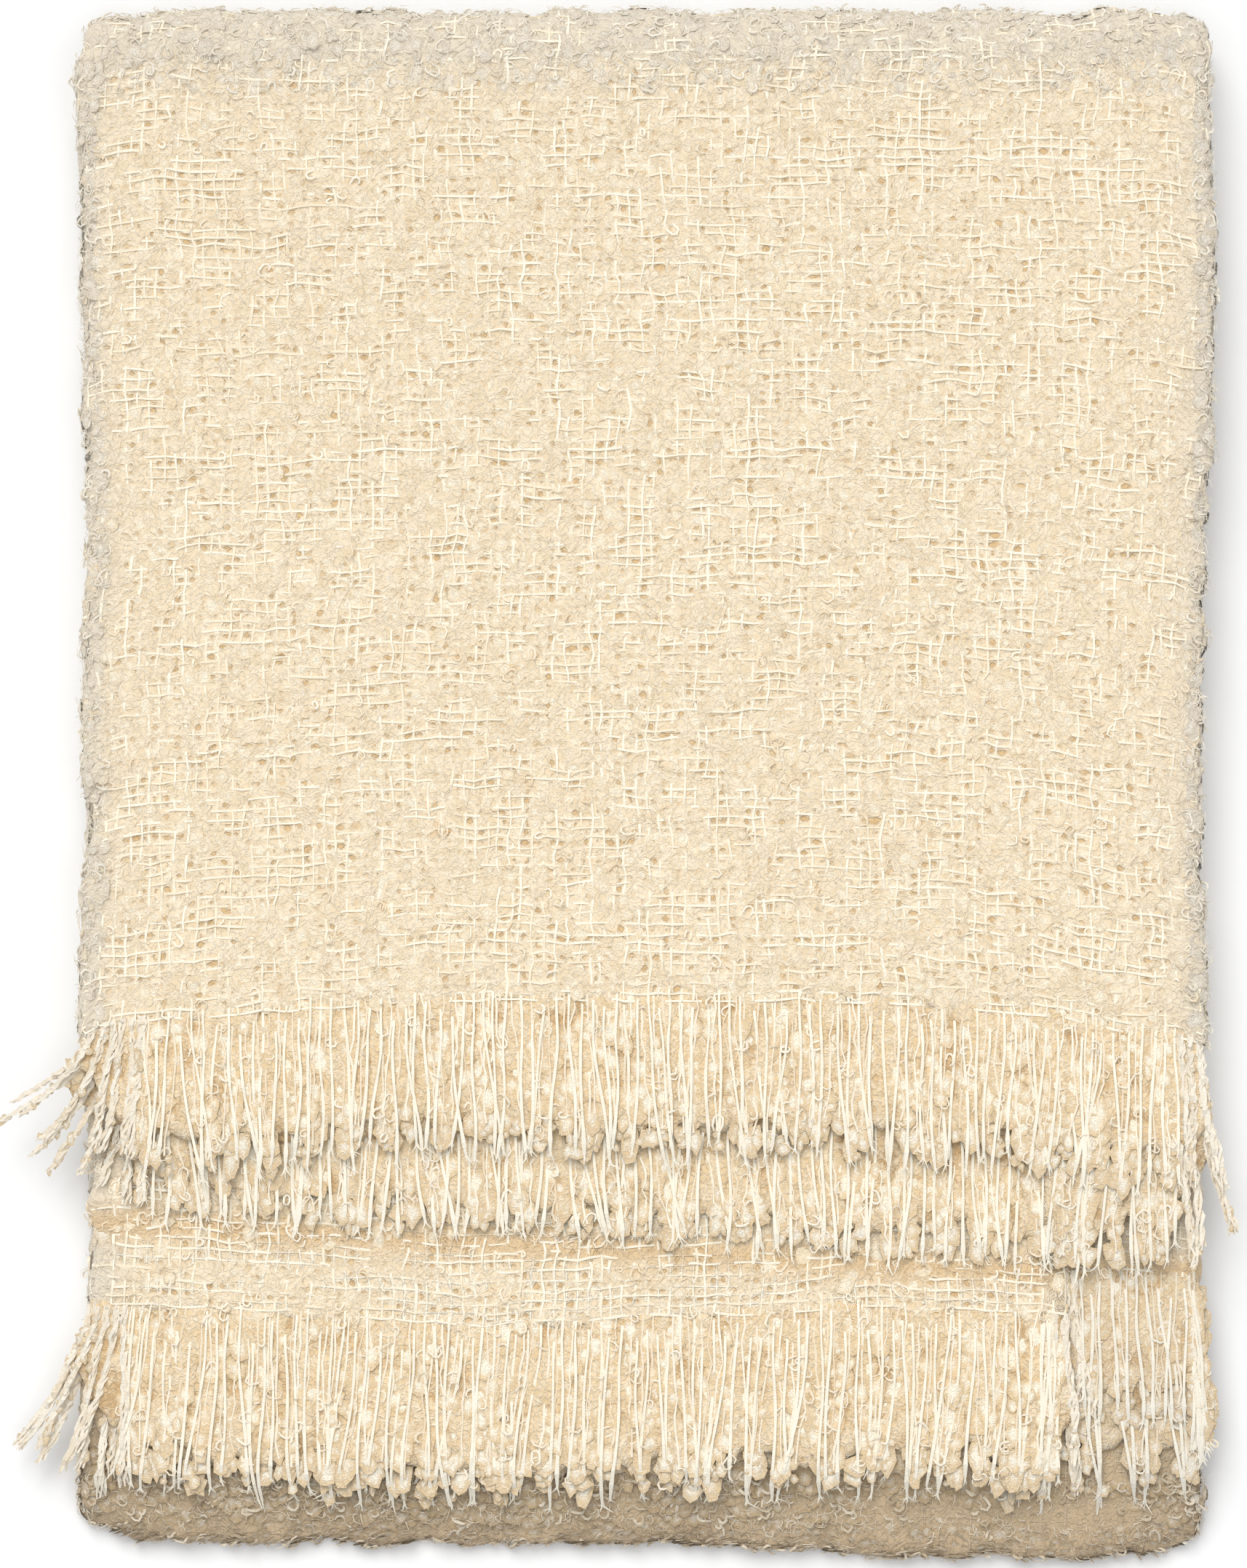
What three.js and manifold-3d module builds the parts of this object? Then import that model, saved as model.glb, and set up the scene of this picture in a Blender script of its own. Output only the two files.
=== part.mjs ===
// A boucle throw as it lies folded: in three across its width, then in four along its length.
// Millimetres, +Z up, +Y towards the outer fold, the fringed ends looking towards -Y.
// The origin is the middle of the underside of the whole thing, fringe included.

import * as THREE from "three";
import { mergeVertices } from "three/addons/utils/BufferGeometryUtils.js";
import Module from "manifold-3d";

// The cloth and its stack of twelve layers
const CLOTH_THICK = 2.6;
const LAYER_PITCH = 3.4;
const EDGE_LEFT = -208;
const EDGE_RIGHT = 224;
const TUCKED_SELVEDGE = -196;
const SHORT_SELVEDGE = 171;

// Where the folds along the length turn, and how far they are pressed flat
const OUTER_TURN = 281;
const NEAR_TURN = -284;
const FOLD_PRESS = 0.85;

// The near fold slopes down to the table: the share of its height that is lost, and between which y
const SLOPE_LOSS = 0.55;
const SLOPE_TOP = -262;
const SLOPE_FOOT = -290;

// The strip that carries a fringe, and the parting between it and the cloth
const STRIP_DEPTH = 6;
const PARTING = 0.4;

// A strand of the fringe
const STRAND_RADIUS = 0.95;
const STRAND_SIDES = 3;
const STRAND_ROOT = 2.5;
const LENGTH_SPREAD = 0.05;
const LEAN_SPREAD = 1.6;
const EDGE_DROOP = 0.35;

// The middle of the whole thing's outline, fringe included, in the tables' own x and y
const MIDDLE_X = -2.52;
const MIDDLE_Y = -1.166;

// Steps of the mesh
const PLAN_COLUMNS = [-198, -186, -130, -65, 0, 65, 130, 182, 212];
const WIDE_FOLD_STEPS = 5;
const TIGHT_FOLD_STEPS = 3;
const LENGTH_FOLD_STEPS = 6;
const TOP_ROWS = 6;
const LONG_ROWS = 9;
const SLOPE_ROW = 0.96;
const SECOND_ROWS = 8;

// The two side folds wander a little along the throw. Heights y run along it, x is the outline.
const SIDE_FOLDS = [
  { y: 299, left: -203, right: 222 },
  { y: 284, left: -207.5, right: 226.5 },
  { y: 249, left: -209.5, right: 225 },
  { y: 190, left: -208.3, right: 227 },
  { y: 131, left: -206.4, right: 225.7 },
  { y: 81, left: -205, right: 223 },
  { y: 47, left: -207.5, right: 222.3 },
  { y: -20, left: -205.5, right: 221.5 },
  { y: -87, left: -208, right: 223.7 },
  { y: -171, left: -205, right: 222.3 },
  { y: -222, left: -208.3, right: 223.7 },
  { y: -272, left: -211.7, right: 223.5 },
  { y: -290, left: -208, right: 224 },
  { y: -300, left: -202, right: 221 },
];

// The outer fold is drawn in at its corners.
const OUTER_FOLD = [
  { x: -208, shift: -5 },
  { x: -188, shift: 0 },
  { x: 206, shift: 0 },
  { x: 224, shift: -5 },
];

// The near fold has a round left corner and slants: it reaches further out on the right.
const NEAR_FOLD = [
  { x: -208, shift: 9.5 },
  { x: -198, shift: 3.5 },
  { x: -186, shift: 0 },
  { x: 29, shift: -1 },
  { x: 96, shift: -4.5 },
  { x: 180, shift: -6.7 },
  { x: 212, shift: -4 },
  { x: 224, shift: 3 },
];

// Where each panel's hem lies at the cloth's two ends
const HEMS = {
  short: [
    { x: -208, first: -109, second: -203 },
    { x: -120, first: -114, second: -206.8 },
    { x: -60, first: -117, second: -211 },
    { x: 60, first: -123, second: -205.4 },
    { x: 90, first: -125, second: -203 },
    { x: 171, first: -129, second: -206.8 },
  ],
  middle: [
    { x: -208, first: -93.4, second: -203.7 },
    { x: -150, first: -89, second: -204.8 },
    { x: -78, first: -83.3, second: -205.7 },
    { x: 68, first: -83.3, second: -205.7 },
    { x: 110, first: -84.4, second: -205.7 },
    { x: 166, first: -89.2, second: -205 },
    { x: 194, first: -95.6, second: -204 },
    { x: 224, first: -99, second: -200.6 },
  ],
  tucked: [
    { x: 224, first: -103, second: -193 },
    { x: 195, first: -106.3, second: -189.4 },
    { x: 0, first: -109.3, second: -188.6 },
    { x: -196, first: -112.4, second: -187.5 },
  ],
};

// The rows of fringe, with their strands, length and how high a tip ends
const FIRST_FRINGE = [
  { panel: "middle", strands: 80, length: 58, tip: 35.6 },
  { panel: "tucked", strands: 36, length: 58, tip: 33 },
  { panel: "short", strands: 38, length: 56, tip: 30.9 },
  { panel: "wideFold", strands: 3, length: 56, tip: 32 },
  { panel: "tightFold", strands: 2, length: 62, tip: 33.4 },
];
const SECOND_FRINGE = [
  { panel: "short", strands: 70, length: 68, tip: 22.8 },
  { panel: "tucked", strands: 26, length: 65, tip: 22.5 },
  { panel: "middle", strands: 30, length: 66, tip: 21 },
  { panel: "wideFold", strands: 3, length: 62, tip: 21.8 },
  { panel: "tightFold", strands: 2, length: 64, tip: 21.6 },
];

// Beyond the side folds the strands fan out. A row is a height of the lean along the hem.
const FIRST_LEAN = [
  { x: -208, lean: -36 },
  { x: -203, lean: -28 },
  { x: -192, lean: -8 },
  { x: -170, lean: 0 },
  { x: 196, lean: 0 },
  { x: 216, lean: 6 },
  { x: 224, lean: 14 },
];
const SECOND_LEAN = [
  { x: -208, lean: -24 },
  { x: -203, lean: -18 },
  { x: -192, lean: -5 },
  { x: -170, lean: 0 },
  { x: 162, lean: 0 },
  { x: 171, lean: 9 },
  { x: 180, lean: 2 },
  { x: 224, lean: 5 },
];

// Soft swells of the upper face, as shares of the height
const SWELLS = [
  { share: 0.022, acrossX: 0.0145, acrossY: 0.004, phase: 0.6 },
  { share: 0.018, acrossX: -0.006, acrossY: 0.0135, phase: 2.1 },
  { share: 0.012, acrossX: 0.011, acrossY: 0.0125, phase: 4.4 },
];

const CLOTH_COLOUR = 0xf0e0c4;
const FRINGE_COLOUR = 0xe9d8bb;

// A value between the rows of a table, straight from row to row
function between(table, key, at, column) {
  const rows = [...table].sort((a, b) => a[key] - b[key]);
  const clamped = THREE.MathUtils.clamp(at, rows[0][key], rows[rows.length - 1][key]);
  const next = Math.max(1, rows.findIndex((row) => row[key] >= clamped));
  const [low, high] = [rows[next - 1], rows[next]];
  return THREE.MathUtils.mapLinear(clamped, low[key], high[key], low[column], high[column]);
}

// A repeatable spread between -1 and 1
function makeSpread(seed) {
  let state = seed;
  return () => {
    state = (state * 16807) % 2147483647;
    return (2 * state) / 2147483647 - 1;
  };
}

function layerHeight(layer) {
  return CLOTH_THICK / 2 + (layer - 1) * LAYER_PITCH;
}

// The cloth's section across its width: the short panel, the wide fold at the left, the middle
// panel, the tight fold at the right, and the tucked panel between the other two.
function widthSection() {
  const wide = LAYER_PITCH;
  const tight = LAYER_PITCH / 2;
  const wideX = EDGE_LEFT + wide + CLOTH_THICK / 2;
  const tightX = EDGE_RIGHT - tight - CLOTH_THICK / 2;
  const points = [];
  const inner = PLAN_COLUMNS.filter((x) => x > wideX && x < tightX);
  const flat = (panel, xs, rise, side) => {
    for (const x of xs) points.push({ panel, x, rise, nx: 0, nr: side });
  };
  const turn = (panel, x, rise, radius, steps, from) => {
    for (let step = 1; step < steps; step += 1) {
      const angle = from - (Math.PI * step) / steps;
      const [nx, nr] = [Math.cos(angle), Math.sin(angle)];
      points.push({ panel, x: x + radius * nx, rise: rise + radius * nr, nx, nr, share: step / steps });
    }
  };
  const backwards = [...inner].reverse();
  flat("short", [SHORT_SELVEDGE, ...backwards.filter((x) => x < SHORT_SELVEDGE)], -LAYER_PITCH, -1);
  flat("short", [wideX], -LAYER_PITCH, -1);
  turn("wideFold", wideX, 0, wide, WIDE_FOLD_STEPS, -Math.PI / 2);
  flat("middle", [wideX, ...inner, tightX], LAYER_PITCH, 1);
  turn("tightFold", tightX, tight, tight, TIGHT_FOLD_STEPS, Math.PI / 2);
  flat("tucked", [tightX, ...backwards.filter((x) => x > TUCKED_SELVEDGE), TUCKED_SELVEDGE], 0, -1);
  return points;
}

// Where a point of the section has its hem, at one end of the cloth
function hemAt(point, end) {
  if (point.panel === "wideFold") {
    const short = between(HEMS.short, "x", EDGE_LEFT, end);
    return THREE.MathUtils.lerp(short, between(HEMS.middle, "x", EDGE_LEFT, end), point.share);
  }
  if (point.panel === "tightFold") {
    const middle = between(HEMS.middle, "x", EDGE_RIGHT, end);
    return THREE.MathUtils.lerp(middle, between(HEMS.tucked, "x", EDGE_RIGHT, end), point.share);
  }
  return between(HEMS[point.panel], "x", point.x, end);
}

// A point of the folded stack before it is laid: the side folds wander, the folds along the
// length are pressed, the upper face swells, and the outline's middle comes to the origin. The
// underside stays flat.
function lay(x, y, z) {
  const left = between(SIDE_FOLDS, "y", y, "left") - EDGE_LEFT;
  const right = between(SIDE_FOLDS, "y", y, "right") - EDGE_RIGHT;
  const side = (x - EDGE_LEFT) / (EDGE_RIGHT - EDGE_LEFT);
  const laidX = x + THREE.MathUtils.lerp(left, right, THREE.MathUtils.clamp(side, 0, 1));
  const swell = SWELLS.reduce(
    (sum, wave) => sum + wave.share * Math.sin(wave.acrossX * x + wave.acrossY * y + wave.phase),
    0,
  );
  const sloped = 1 - SLOPE_LOSS * THREE.MathUtils.smoothstep(-y, -SLOPE_TOP, -SLOPE_FOOT);
  return new THREE.Vector3(laidX - MIDDLE_X, y - MIDDLE_Y, z * (1 + swell) * sloped);
}

// The cloth's way along its length, as rows from its first hem to its second. A row gives, for a
// point of the section, the middle of the strip of layers and the way its outer side looks.
function lengthRows() {
  const [top, bottom] = [layerHeight(11), layerHeight(2)];
  const [third, second] = [layerHeight(5), layerHeight(8)];
  const near = (point) => NEAR_TURN + between(NEAR_FOLD, "x", point.x, "shift");
  const far = (point) => OUTER_TURN + between(OUTER_FOLD, "x", point.x, "shift");
  const rows = [];
  const even = (steps) => Array.from({ length: steps + 1 }, (_, step) => step / steps);
  const outwards = [...even(LONG_ROWS), SLOPE_ROW].sort((a, b) => a - b);
  const back = outwards.map((share) => 1 - share).reverse();
  const run = (shares, from, to, z, side) => {
    for (const share of shares) {
      rows.push((point) => {
        const y = THREE.MathUtils.lerp(from(point), to(point), share);
        return { y, z, ny: 0, nz: side };
      });
    }
  };
  const turn = (centreY, lowZ, highZ, from, sense, outer) => {
    const radius = (highZ - lowZ) / 2;
    for (let step = 1; step < LENGTH_FOLD_STEPS; step += 1) {
      const angle = from + (sense * Math.PI * step) / LENGTH_FOLD_STEPS;
      const [cos, sin] = [Math.cos(angle), Math.sin(angle)];
      rows.push((point) => ({
        y: centreY(point) + radius * cos,
        z: (lowZ + highZ) / 2 + radius * sin,
        ny: outer * cos,
        nz: outer * sin,
      }));
    }
  };
  run(even(TOP_ROWS), (point) => hemAt(point, "first") + STRIP_DEPTH + PARTING, far, top, 1);
  turn(far, bottom, top, Math.PI / 2, -1, 1);
  run(outwards, far, near, bottom, -1);
  turn(near, bottom, third, -Math.PI / 2, -1, 1);
  run(back, near, far, third, 1);
  turn(far, third, second, -Math.PI / 2, 1, -1);
  run(even(SECOND_ROWS), far, (point) => hemAt(point, "second") + STRIP_DEPTH + PARTING, second, -1);
  return rows;
}

// The two rows of a fringe's strip
function stripRows(end) {
  const [z, side] = end === "first" ? [layerHeight(11), 1] : [layerHeight(8), -1];
  const row = (offset) => (point) => ({ y: hemAt(point, end) + offset, z, ny: 0, nz: side });
  const rows = [row(0), row(STRIP_DEPTH)];
  return end === "first" ? rows : rows.reverse();
}

// The laid place of a section point on a row, moved off the cloth's middle by an offset
function placed(point, row, offset) {
  const base = row(point);
  const rise = point.rise + offset * point.nr;
  let y = base.y + base.ny * rise;
  const z = base.z + base.nz * rise;
  if (y > OUTER_TURN) y = OUTER_TURN + (y - OUTER_TURN) * FOLD_PRESS;
  return lay(point.x + offset * point.nx, y, z);
}

// A closed sheet of the cloth's thickness through the rows, as vertex places and triangles
function sheetMesh(section, rows) {
  const half = CLOTH_THICK / 2;
  const columns = section.length;
  const places = [];
  for (const offset of [half, -half]) {
    for (const row of rows) {
      for (const point of section) places.push(placed(point, row, offset));
    }
  }
  const under = rows.length * columns;
  const triangles = [];
  const quad = (a, b, c, d) => {
    const [p, q] = [places[a], places[c]];
    if ((q.x - p.x) * (q.y - p.y) > 0) triangles.push(a, b, c, a, c, d);
    else triangles.push(b, c, d, b, d, a);
  };
  for (let r = 0; r + 1 < rows.length; r += 1) {
    for (let c = 0; c + 1 < columns; c += 1) {
      const a = r * columns + c;
      quad(a, a + 1, a + columns + 1, a + columns);
      quad(under + a + columns, under + a + columns + 1, under + a + 1, under + a);
    }
  }
  // Both end walls are split along the same diagonal, so that a strip fits its cloth
  const startWall = (a, b) => triangles.push(a, under + a, under + b, a, under + b, b);
  const endWall = (a, b) => triangles.push(a, under + b, under + a, a, b, under + b);
  const last = (rows.length - 1) * columns;
  for (let c = 0; c + 1 < columns; c += 1) {
    startWall(c, c + 1);
    endWall(last + c, last + c + 1);
  }
  for (let r = 0; r + 1 < rows.length; r += 1) {
    endWall(r * columns, (r + 1) * columns);
    startWall(r * columns + columns - 1, (r + 1) * columns + columns - 1);
  }
  return { places, triangles };
}

// The volume that a mesh's faces enclose, below nothing if they look inwards
function enclosed({ places, triangles }) {
  let sum = 0;
  for (let t = 0; t < triangles.length; t += 3) {
    const [a, b, c] = [0, 1, 2].map((corner) => places[triangles[t + corner]]);
    sum += a.dot(new THREE.Vector3().crossVectors(b, c)) / 6;
  }
  return sum;
}

// The same mesh with its faces looking out
function facingOut(mesh) {
  if (enclosed(mesh) > 0) return mesh;
  const triangles = [];
  for (let t = 0; t < mesh.triangles.length; t += 3) {
    triangles.push(mesh.triangles[t], mesh.triangles[t + 2], mesh.triangles[t + 1]);
  }
  return { places: mesh.places, triangles };
}

// A strand: a three-sided prism along its route, a little thicker at the tuft near its tip
function strandMesh(route) {
  const places = [];
  const triangles = [];
  for (const { place, radius } of route) {
    for (let side = 0; side < STRAND_SIDES; side += 1) {
      const angle = Math.PI / 2 + (2 * Math.PI * side) / STRAND_SIDES;
      const across = new THREE.Vector3(radius * Math.cos(angle), 0, radius * Math.sin(angle));
      places.push(place.clone().add(across));
    }
  }
  for (let ring = 0; ring + 1 < route.length; ring += 1) {
    for (let side = 0; side < STRAND_SIDES; side += 1) {
      const a = ring * STRAND_SIDES + side;
      const b = ring * STRAND_SIDES + ((side + 1) % STRAND_SIDES);
      triangles.push(a, b, b + STRAND_SIDES, a, b + STRAND_SIDES, a + STRAND_SIDES);
    }
  }
  const tip = (route.length - 1) * STRAND_SIDES;
  triangles.push(0, 2, 1, tip, tip + 1, tip + 2);
  return facingOut({ places, triangles });
}

// The places along a panel or fold where the strands of a row leave the hem
function rootPoints(row, section, spread) {
  const own = section.filter((point) => point.panel === row.panel);
  if (row.panel.endsWith("Fold")) {
    const picked = (strand) => Math.round(((strand + 0.5) / row.strands) * (own.length - 1));
    return Array.from({ length: row.strands }, (_, strand) => own[picked(strand)]);
  }
  const ends = own.map((point) => point.x);
  const [low, high] = [Math.min(...ends) + STRAND_RADIUS, Math.max(...ends) - STRAND_RADIUS];
  const pitch = (high - low) / (row.strands - 1);
  return Array.from({ length: row.strands }, (_, strand) => {
    const inside = strand > 0 && strand < row.strands - 1;
    const x = low + pitch * strand + (inside ? 0.12 * pitch * spread() : 0);
    return { ...own[0], x };
  });
}

// A strand's route: out of the strip, then level and slowly down to where its tip lies
function strandRoute(point, row, end, leans, spread) {
  const side = end === "first" ? 1 : -1;
  const rootZ = layerHeight(end === "first" ? 11 : 8) + side * point.rise;
  const hem = hemAt(point, end);
  const length = row.length * (1 + LENGTH_SPREAD * spread());
  const lean = between(leans, "x", point.x, "lean");
  const sway = LEAN_SPREAD * spread();
  const steps = [
    { share: -STRAND_ROOT / length, radius: 0.85 * STRAND_RADIUS },
    { share: 0.42, radius: 0.8 * STRAND_RADIUS },
    { share: 0.86, radius: 1.12 * STRAND_RADIUS },
    { share: 1, radius: 0.45 * STRAND_RADIUS },
  ];
  const reach = Math.sqrt(length ** 2 - lean ** 2);
  return steps.map(({ share, radius }) => {
    const out = Math.max(0, share);
    const x = point.x + lean * out ** 1.4 + sway * out ** 2;
    const beyond = Math.max(0, EDGE_LEFT - x, x - EDGE_RIGHT);
    const z = THREE.MathUtils.lerp(rootZ, row.tip, out) - EDGE_DROOP * beyond;
    return { place: lay(x, hem - reach * share, z), radius };
  });
}

const wasm = await Module();
wasm.setup();

function asManifold({ places, triangles }) {
  const geometry = new THREE.BufferGeometry().setFromPoints(places);
  geometry.setIndex(triangles);
  const merged = mergeVertices(geometry, 1e-5);
  return new wasm.Manifold(
    new wasm.Mesh({
      numProp: 3,
      vertProperties: new Float32Array(merged.attributes.position.array),
      triVerts: new Uint32Array(merged.index.array),
    }),
  );
}

// The strip of one end with its rows of strands fused into it
function fringeGeometry(end, table, leans, seed) {
  const section = widthSection();
  const spread = makeSpread(seed);
  let solid = asManifold(facingOut(sheetMesh(section, stripRows(end))));
  for (const row of table) {
    for (const point of rootPoints(row, section, spread)) {
      solid = solid.add(asManifold(strandMesh(strandRoute(point, row, end, leans, spread))));
    }
  }
  const { vertProperties, triVerts } = solid.getMesh();
  const geometry = new THREE.BufferGeometry();
  geometry.setAttribute("position", new THREE.BufferAttribute(vertProperties, 3));
  geometry.setIndex(new THREE.BufferAttribute(triVerts, 1));
  return geometry;
}

function clothGeometry() {
  const { places, triangles } = facingOut(sheetMesh(widthSection(), lengthRows()));
  const geometry = new THREE.BufferGeometry().setFromPoints(places);
  geometry.setIndex(triangles);
  return geometry;
}

function namedMesh(name, geometry, color) {
  geometry.computeVertexNormals();
  const material = new THREE.MeshStandardMaterial({ color, roughness: 0.95, metalness: 0 });
  const mesh = new THREE.Mesh(geometry, material);
  mesh.name = name;
  return mesh;
}

const boucleThrow = new THREE.Group();
boucleThrow.add(namedMesh("throw_cloth", clothGeometry(), CLOTH_COLOUR));
boucleThrow.add(
  namedMesh("fringe_first_end", fringeGeometry("first", FIRST_FRINGE, FIRST_LEAN, 41), FRINGE_COLOUR),
);
boucleThrow.add(
  namedMesh("fringe_second_end", fringeGeometry("second", SECOND_FRINGE, SECOND_LEAN, 97), FRINGE_COLOUR),
);

export default boucleThrow;
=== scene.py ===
"""A boucle throw, folded in three across its width and in four along its length, seen from above.

The throw's own sizes are in millimetres. A place in the cloth is given by how far across it lies
from the short panel's selvedge, and by its stage along the folds, a whole number at each turn.
Meshes are made in metres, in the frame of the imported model.
"""

import logging
import math
from dataclasses import dataclass, field, replace
from enum import Enum, IntEnum
from typing import NamedTuple

import bpy
import numpy as np
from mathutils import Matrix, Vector


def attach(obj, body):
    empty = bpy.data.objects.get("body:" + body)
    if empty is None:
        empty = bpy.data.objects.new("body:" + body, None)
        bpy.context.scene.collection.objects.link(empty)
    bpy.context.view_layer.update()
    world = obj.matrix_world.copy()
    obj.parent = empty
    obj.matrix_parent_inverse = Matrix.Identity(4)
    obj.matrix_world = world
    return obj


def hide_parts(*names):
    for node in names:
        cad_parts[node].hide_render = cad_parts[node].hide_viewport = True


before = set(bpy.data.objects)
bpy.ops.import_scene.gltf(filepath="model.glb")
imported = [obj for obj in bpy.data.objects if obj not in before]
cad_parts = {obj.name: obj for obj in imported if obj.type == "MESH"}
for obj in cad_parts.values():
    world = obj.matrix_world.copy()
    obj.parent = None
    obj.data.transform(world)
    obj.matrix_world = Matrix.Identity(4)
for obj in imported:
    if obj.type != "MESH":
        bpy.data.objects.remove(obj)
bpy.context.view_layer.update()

LOG = logging.getLogger("boucle_throw")
MM = 0.001
SPARE = 1e-9
ASKEW = 0.01
UP = np.array([0.0, 0.0, 1.0])
NO_QUADS, NO_TRIANGLES = np.zeros((0, 4), int), np.zeros((0, 3), int)

# The stages along the cloth, and those at which its lower panel and the strip beside it show
STAGES = 7
LOWER_PANEL = (6.88, 7.0)
TUCKED_STRIP = (6.93, 7.0)

Colour = tuple[float, float, float, float]
Span = tuple[float, float]
Ways = tuple[np.ndarray, np.ndarray, np.ndarray]


def smooth(share: np.ndarray) -> np.ndarray:
    """Eases a share from 0 to 1 in and out."""
    return share * share * (3 - 2 * share)


def unit(ways: np.ndarray, spare: float = 0.0) -> np.ndarray:
    """The ways with a length of 1, where a spare length lets some have none."""
    return ways / (np.linalg.norm(ways, axis=-1, keepdims=True) + spare)


def square_to(ways: np.ndarray, others: np.ndarray) -> np.ndarray:
    """The part of each way that is square to another one, with a length of 1."""
    return unit(ways - others * np.sum(ways * others, axis=-1, keepdims=True), SPARE)


def level_ways(count: int) -> Ways:
    """The ways across, along and up, for a number of places on a level face."""
    return tuple(np.broadcast_to(way, (count, 3)) for way in np.eye(3))


def points_around(centres: np.ndarray, ways: Ways, offsets: tuple[np.ndarray, ...]) -> np.ndarray:
    """Rows of points about some centres.

    Args:
        centres: the centres.
        ways: the ways across, along and out of the cloth at each.
        offsets: how far the points lie off their centre each of these ways, centres by points.

    Returns:
        The points, as centres by points by three.
    """
    return centres[:, None, :] + sum(o[:, :, None] * w[:, None, :] for o, w in zip(offsets, ways))


def keep_values(mesh: bpy.types.Mesh, name: str, values: np.ndarray) -> None:
    """Keeps a value for each vertex, for the materials to read."""
    layer = mesh.attributes.new(name, "FLOAT", "POINT")
    layer.data.foreach_set("value", values.astype(np.float32))


class Table:
    """A short table with named columns, read softly between its rows."""

    def __init__(self, columns: tuple[str, ...], rows: tuple[tuple[float, ...], ...]) -> None:
        """Keeps the rows in the order of their first column.

        Args:
            columns: the columns' names, the first being the one that is looked up.
            rows: the table's rows.
        """
        self.key = columns[0]
        self.columns = dict(zip(columns, np.array(sorted(rows), dtype=float).T))

    def at(self, place: np.ndarray, column: str, soft: float = 6.0) -> np.ndarray:
        """Reads a column at some places.

        Args:
            place: values of the first column.
            column: the column to read.
            soft: how far each side of a place the reading is spread.

        Returns:
            The column's value at each place.
        """
        keys, values = self.columns[self.key], self.columns[column]
        shifts = (-soft, -soft / 2, 0.0, soft / 2, soft)
        return sum(np.interp(place + shift, keys, values) for shift in shifts) / len(shifts)


SIDE_FOLDS = Table(
    ("y", "left", "right"),
    (
        (299, -203, 222),
        (284, -207.5, 226.5),
        (249, -209.5, 225),
        (190, -208.3, 227),
        (131, -206.4, 225.7),
        (81, -205, 223),
        (47, -207.5, 222.3),
        (-20, -205.5, 221.5),
        (-87, -208, 223.7),
        (-171, -205, 222.3),
        (-222, -208.3, 223.7),
        (-272, -211.7, 223.5),
        (-290, -208, 224),
        (-300, -202, 221),
    ),
)
OUTER_FOLD = Table(("x", "shift"), ((-208, -5), (-188, 0), (206, 0), (224, -5)))
NEAR_FOLD = Table(
    ("x", "shift"),
    (
        (-208, 9.5),
        (-198, 3.5),
        (-186, 0),
        (29, -1),
        (96, -4.5),
        (180, -6.7),
        (212, -4),
        (224, 3),
    ),
)
SHORT_HEMS = Table(
    ("x", "first", "second"),
    (
        (-208, -109, -203),
        (-120, -114, -206.8),
        (-60, -117, -211),
        (60, -123, -205.4),
        (90, -125, -203),
        (171, -129, -206.8),
    ),
)
MIDDLE_HEMS = Table(
    ("x", "first", "second"),
    (
        (-208, -93.4, -203.7),
        (-150, -89, -204.8),
        (-78, -83.3, -205.7),
        (68, -83.3, -205.7),
        (110, -84.4, -205.7),
        (166, -89.2, -205),
        (194, -95.6, -204),
        (224, -99, -200.6),
    ),
)
TUCKED_HEMS = Table(
    ("x", "first", "second"),
    ((224, -103, -193), (195, -106.3, -189.4), (0, -109.3, -188.6), (-196, -112.4, -187.5)),
)
FIRST_LEAN = Table(
    ("x", "lean"),
    ((-208, -36), (-203, -28), (-192, -8), (-170, 0), (196, 0), (216, 6), (224, 14)),
)
SECOND_LEAN = Table(
    ("x", "lean"),
    ((-208, -24), (-203, -18), (-192, -5), (-170, 0), (162, 0), (171, 9), (180, 2), (224, 5)),
)


class Marks(NamedTuple):
    """Distances across the cloth at which its five stretches begin, and at which it ends."""

    short: float
    wide_fold: float
    middle: float
    tight_fold: float
    tucked: float
    selvedge: float


class Fold(IntEnum):
    """The folds along the length, by their stage. The even stages are the flat panels."""

    OUTER = 1
    NEAR = 3
    INNER = 5


class End(Enum):
    """The cloth's two ends, by their column in the tables of hems."""

    FIRST = "first"
    SECOND = "second"


class Side(Enum):
    """The cloth's two faces."""

    OUTER = 1.0
    INNER = -1.0


class Unevenness:
    """Smooth repeatable noise between -1 and 1 over a plane.

    A number that is added to a place reads another part of the same noise.
    """

    def __init__(self, seed: int, cells: int = 97) -> None:
        """Draws the lattice that the noise is read from."""
        self.lattice = np.random.default_rng(seed).uniform(-1, 1, (cells, cells))

    def at(self, first: np.ndarray, second: np.ndarray, size: float) -> np.ndarray:
        """Reads the noise.

        Args:
            first: one coordinate.
            second: the other coordinate.
            size: the size of a swell, in the same unit.

        Returns:
            A value for each pair of coordinates.
        """
        first, second = np.broadcast_arrays(np.asarray(first) / size, np.asarray(second) / size)
        i, j = np.floor(first).astype(int), np.floor(second).astype(int)
        p, q = smooth(first - i), smooth(second - j)
        cells = len(self.lattice)
        i, j, i_next, j_next = i % cells, j % cells, (i + 1) % cells, (j + 1) % cells
        near = self.lattice[i, j] * (1 - p) + self.lattice[i_next, j] * p
        far = self.lattice[i, j_next] * (1 - p) + self.lattice[i_next, j_next] * p
        return near * (1 - q) + far * q


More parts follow.
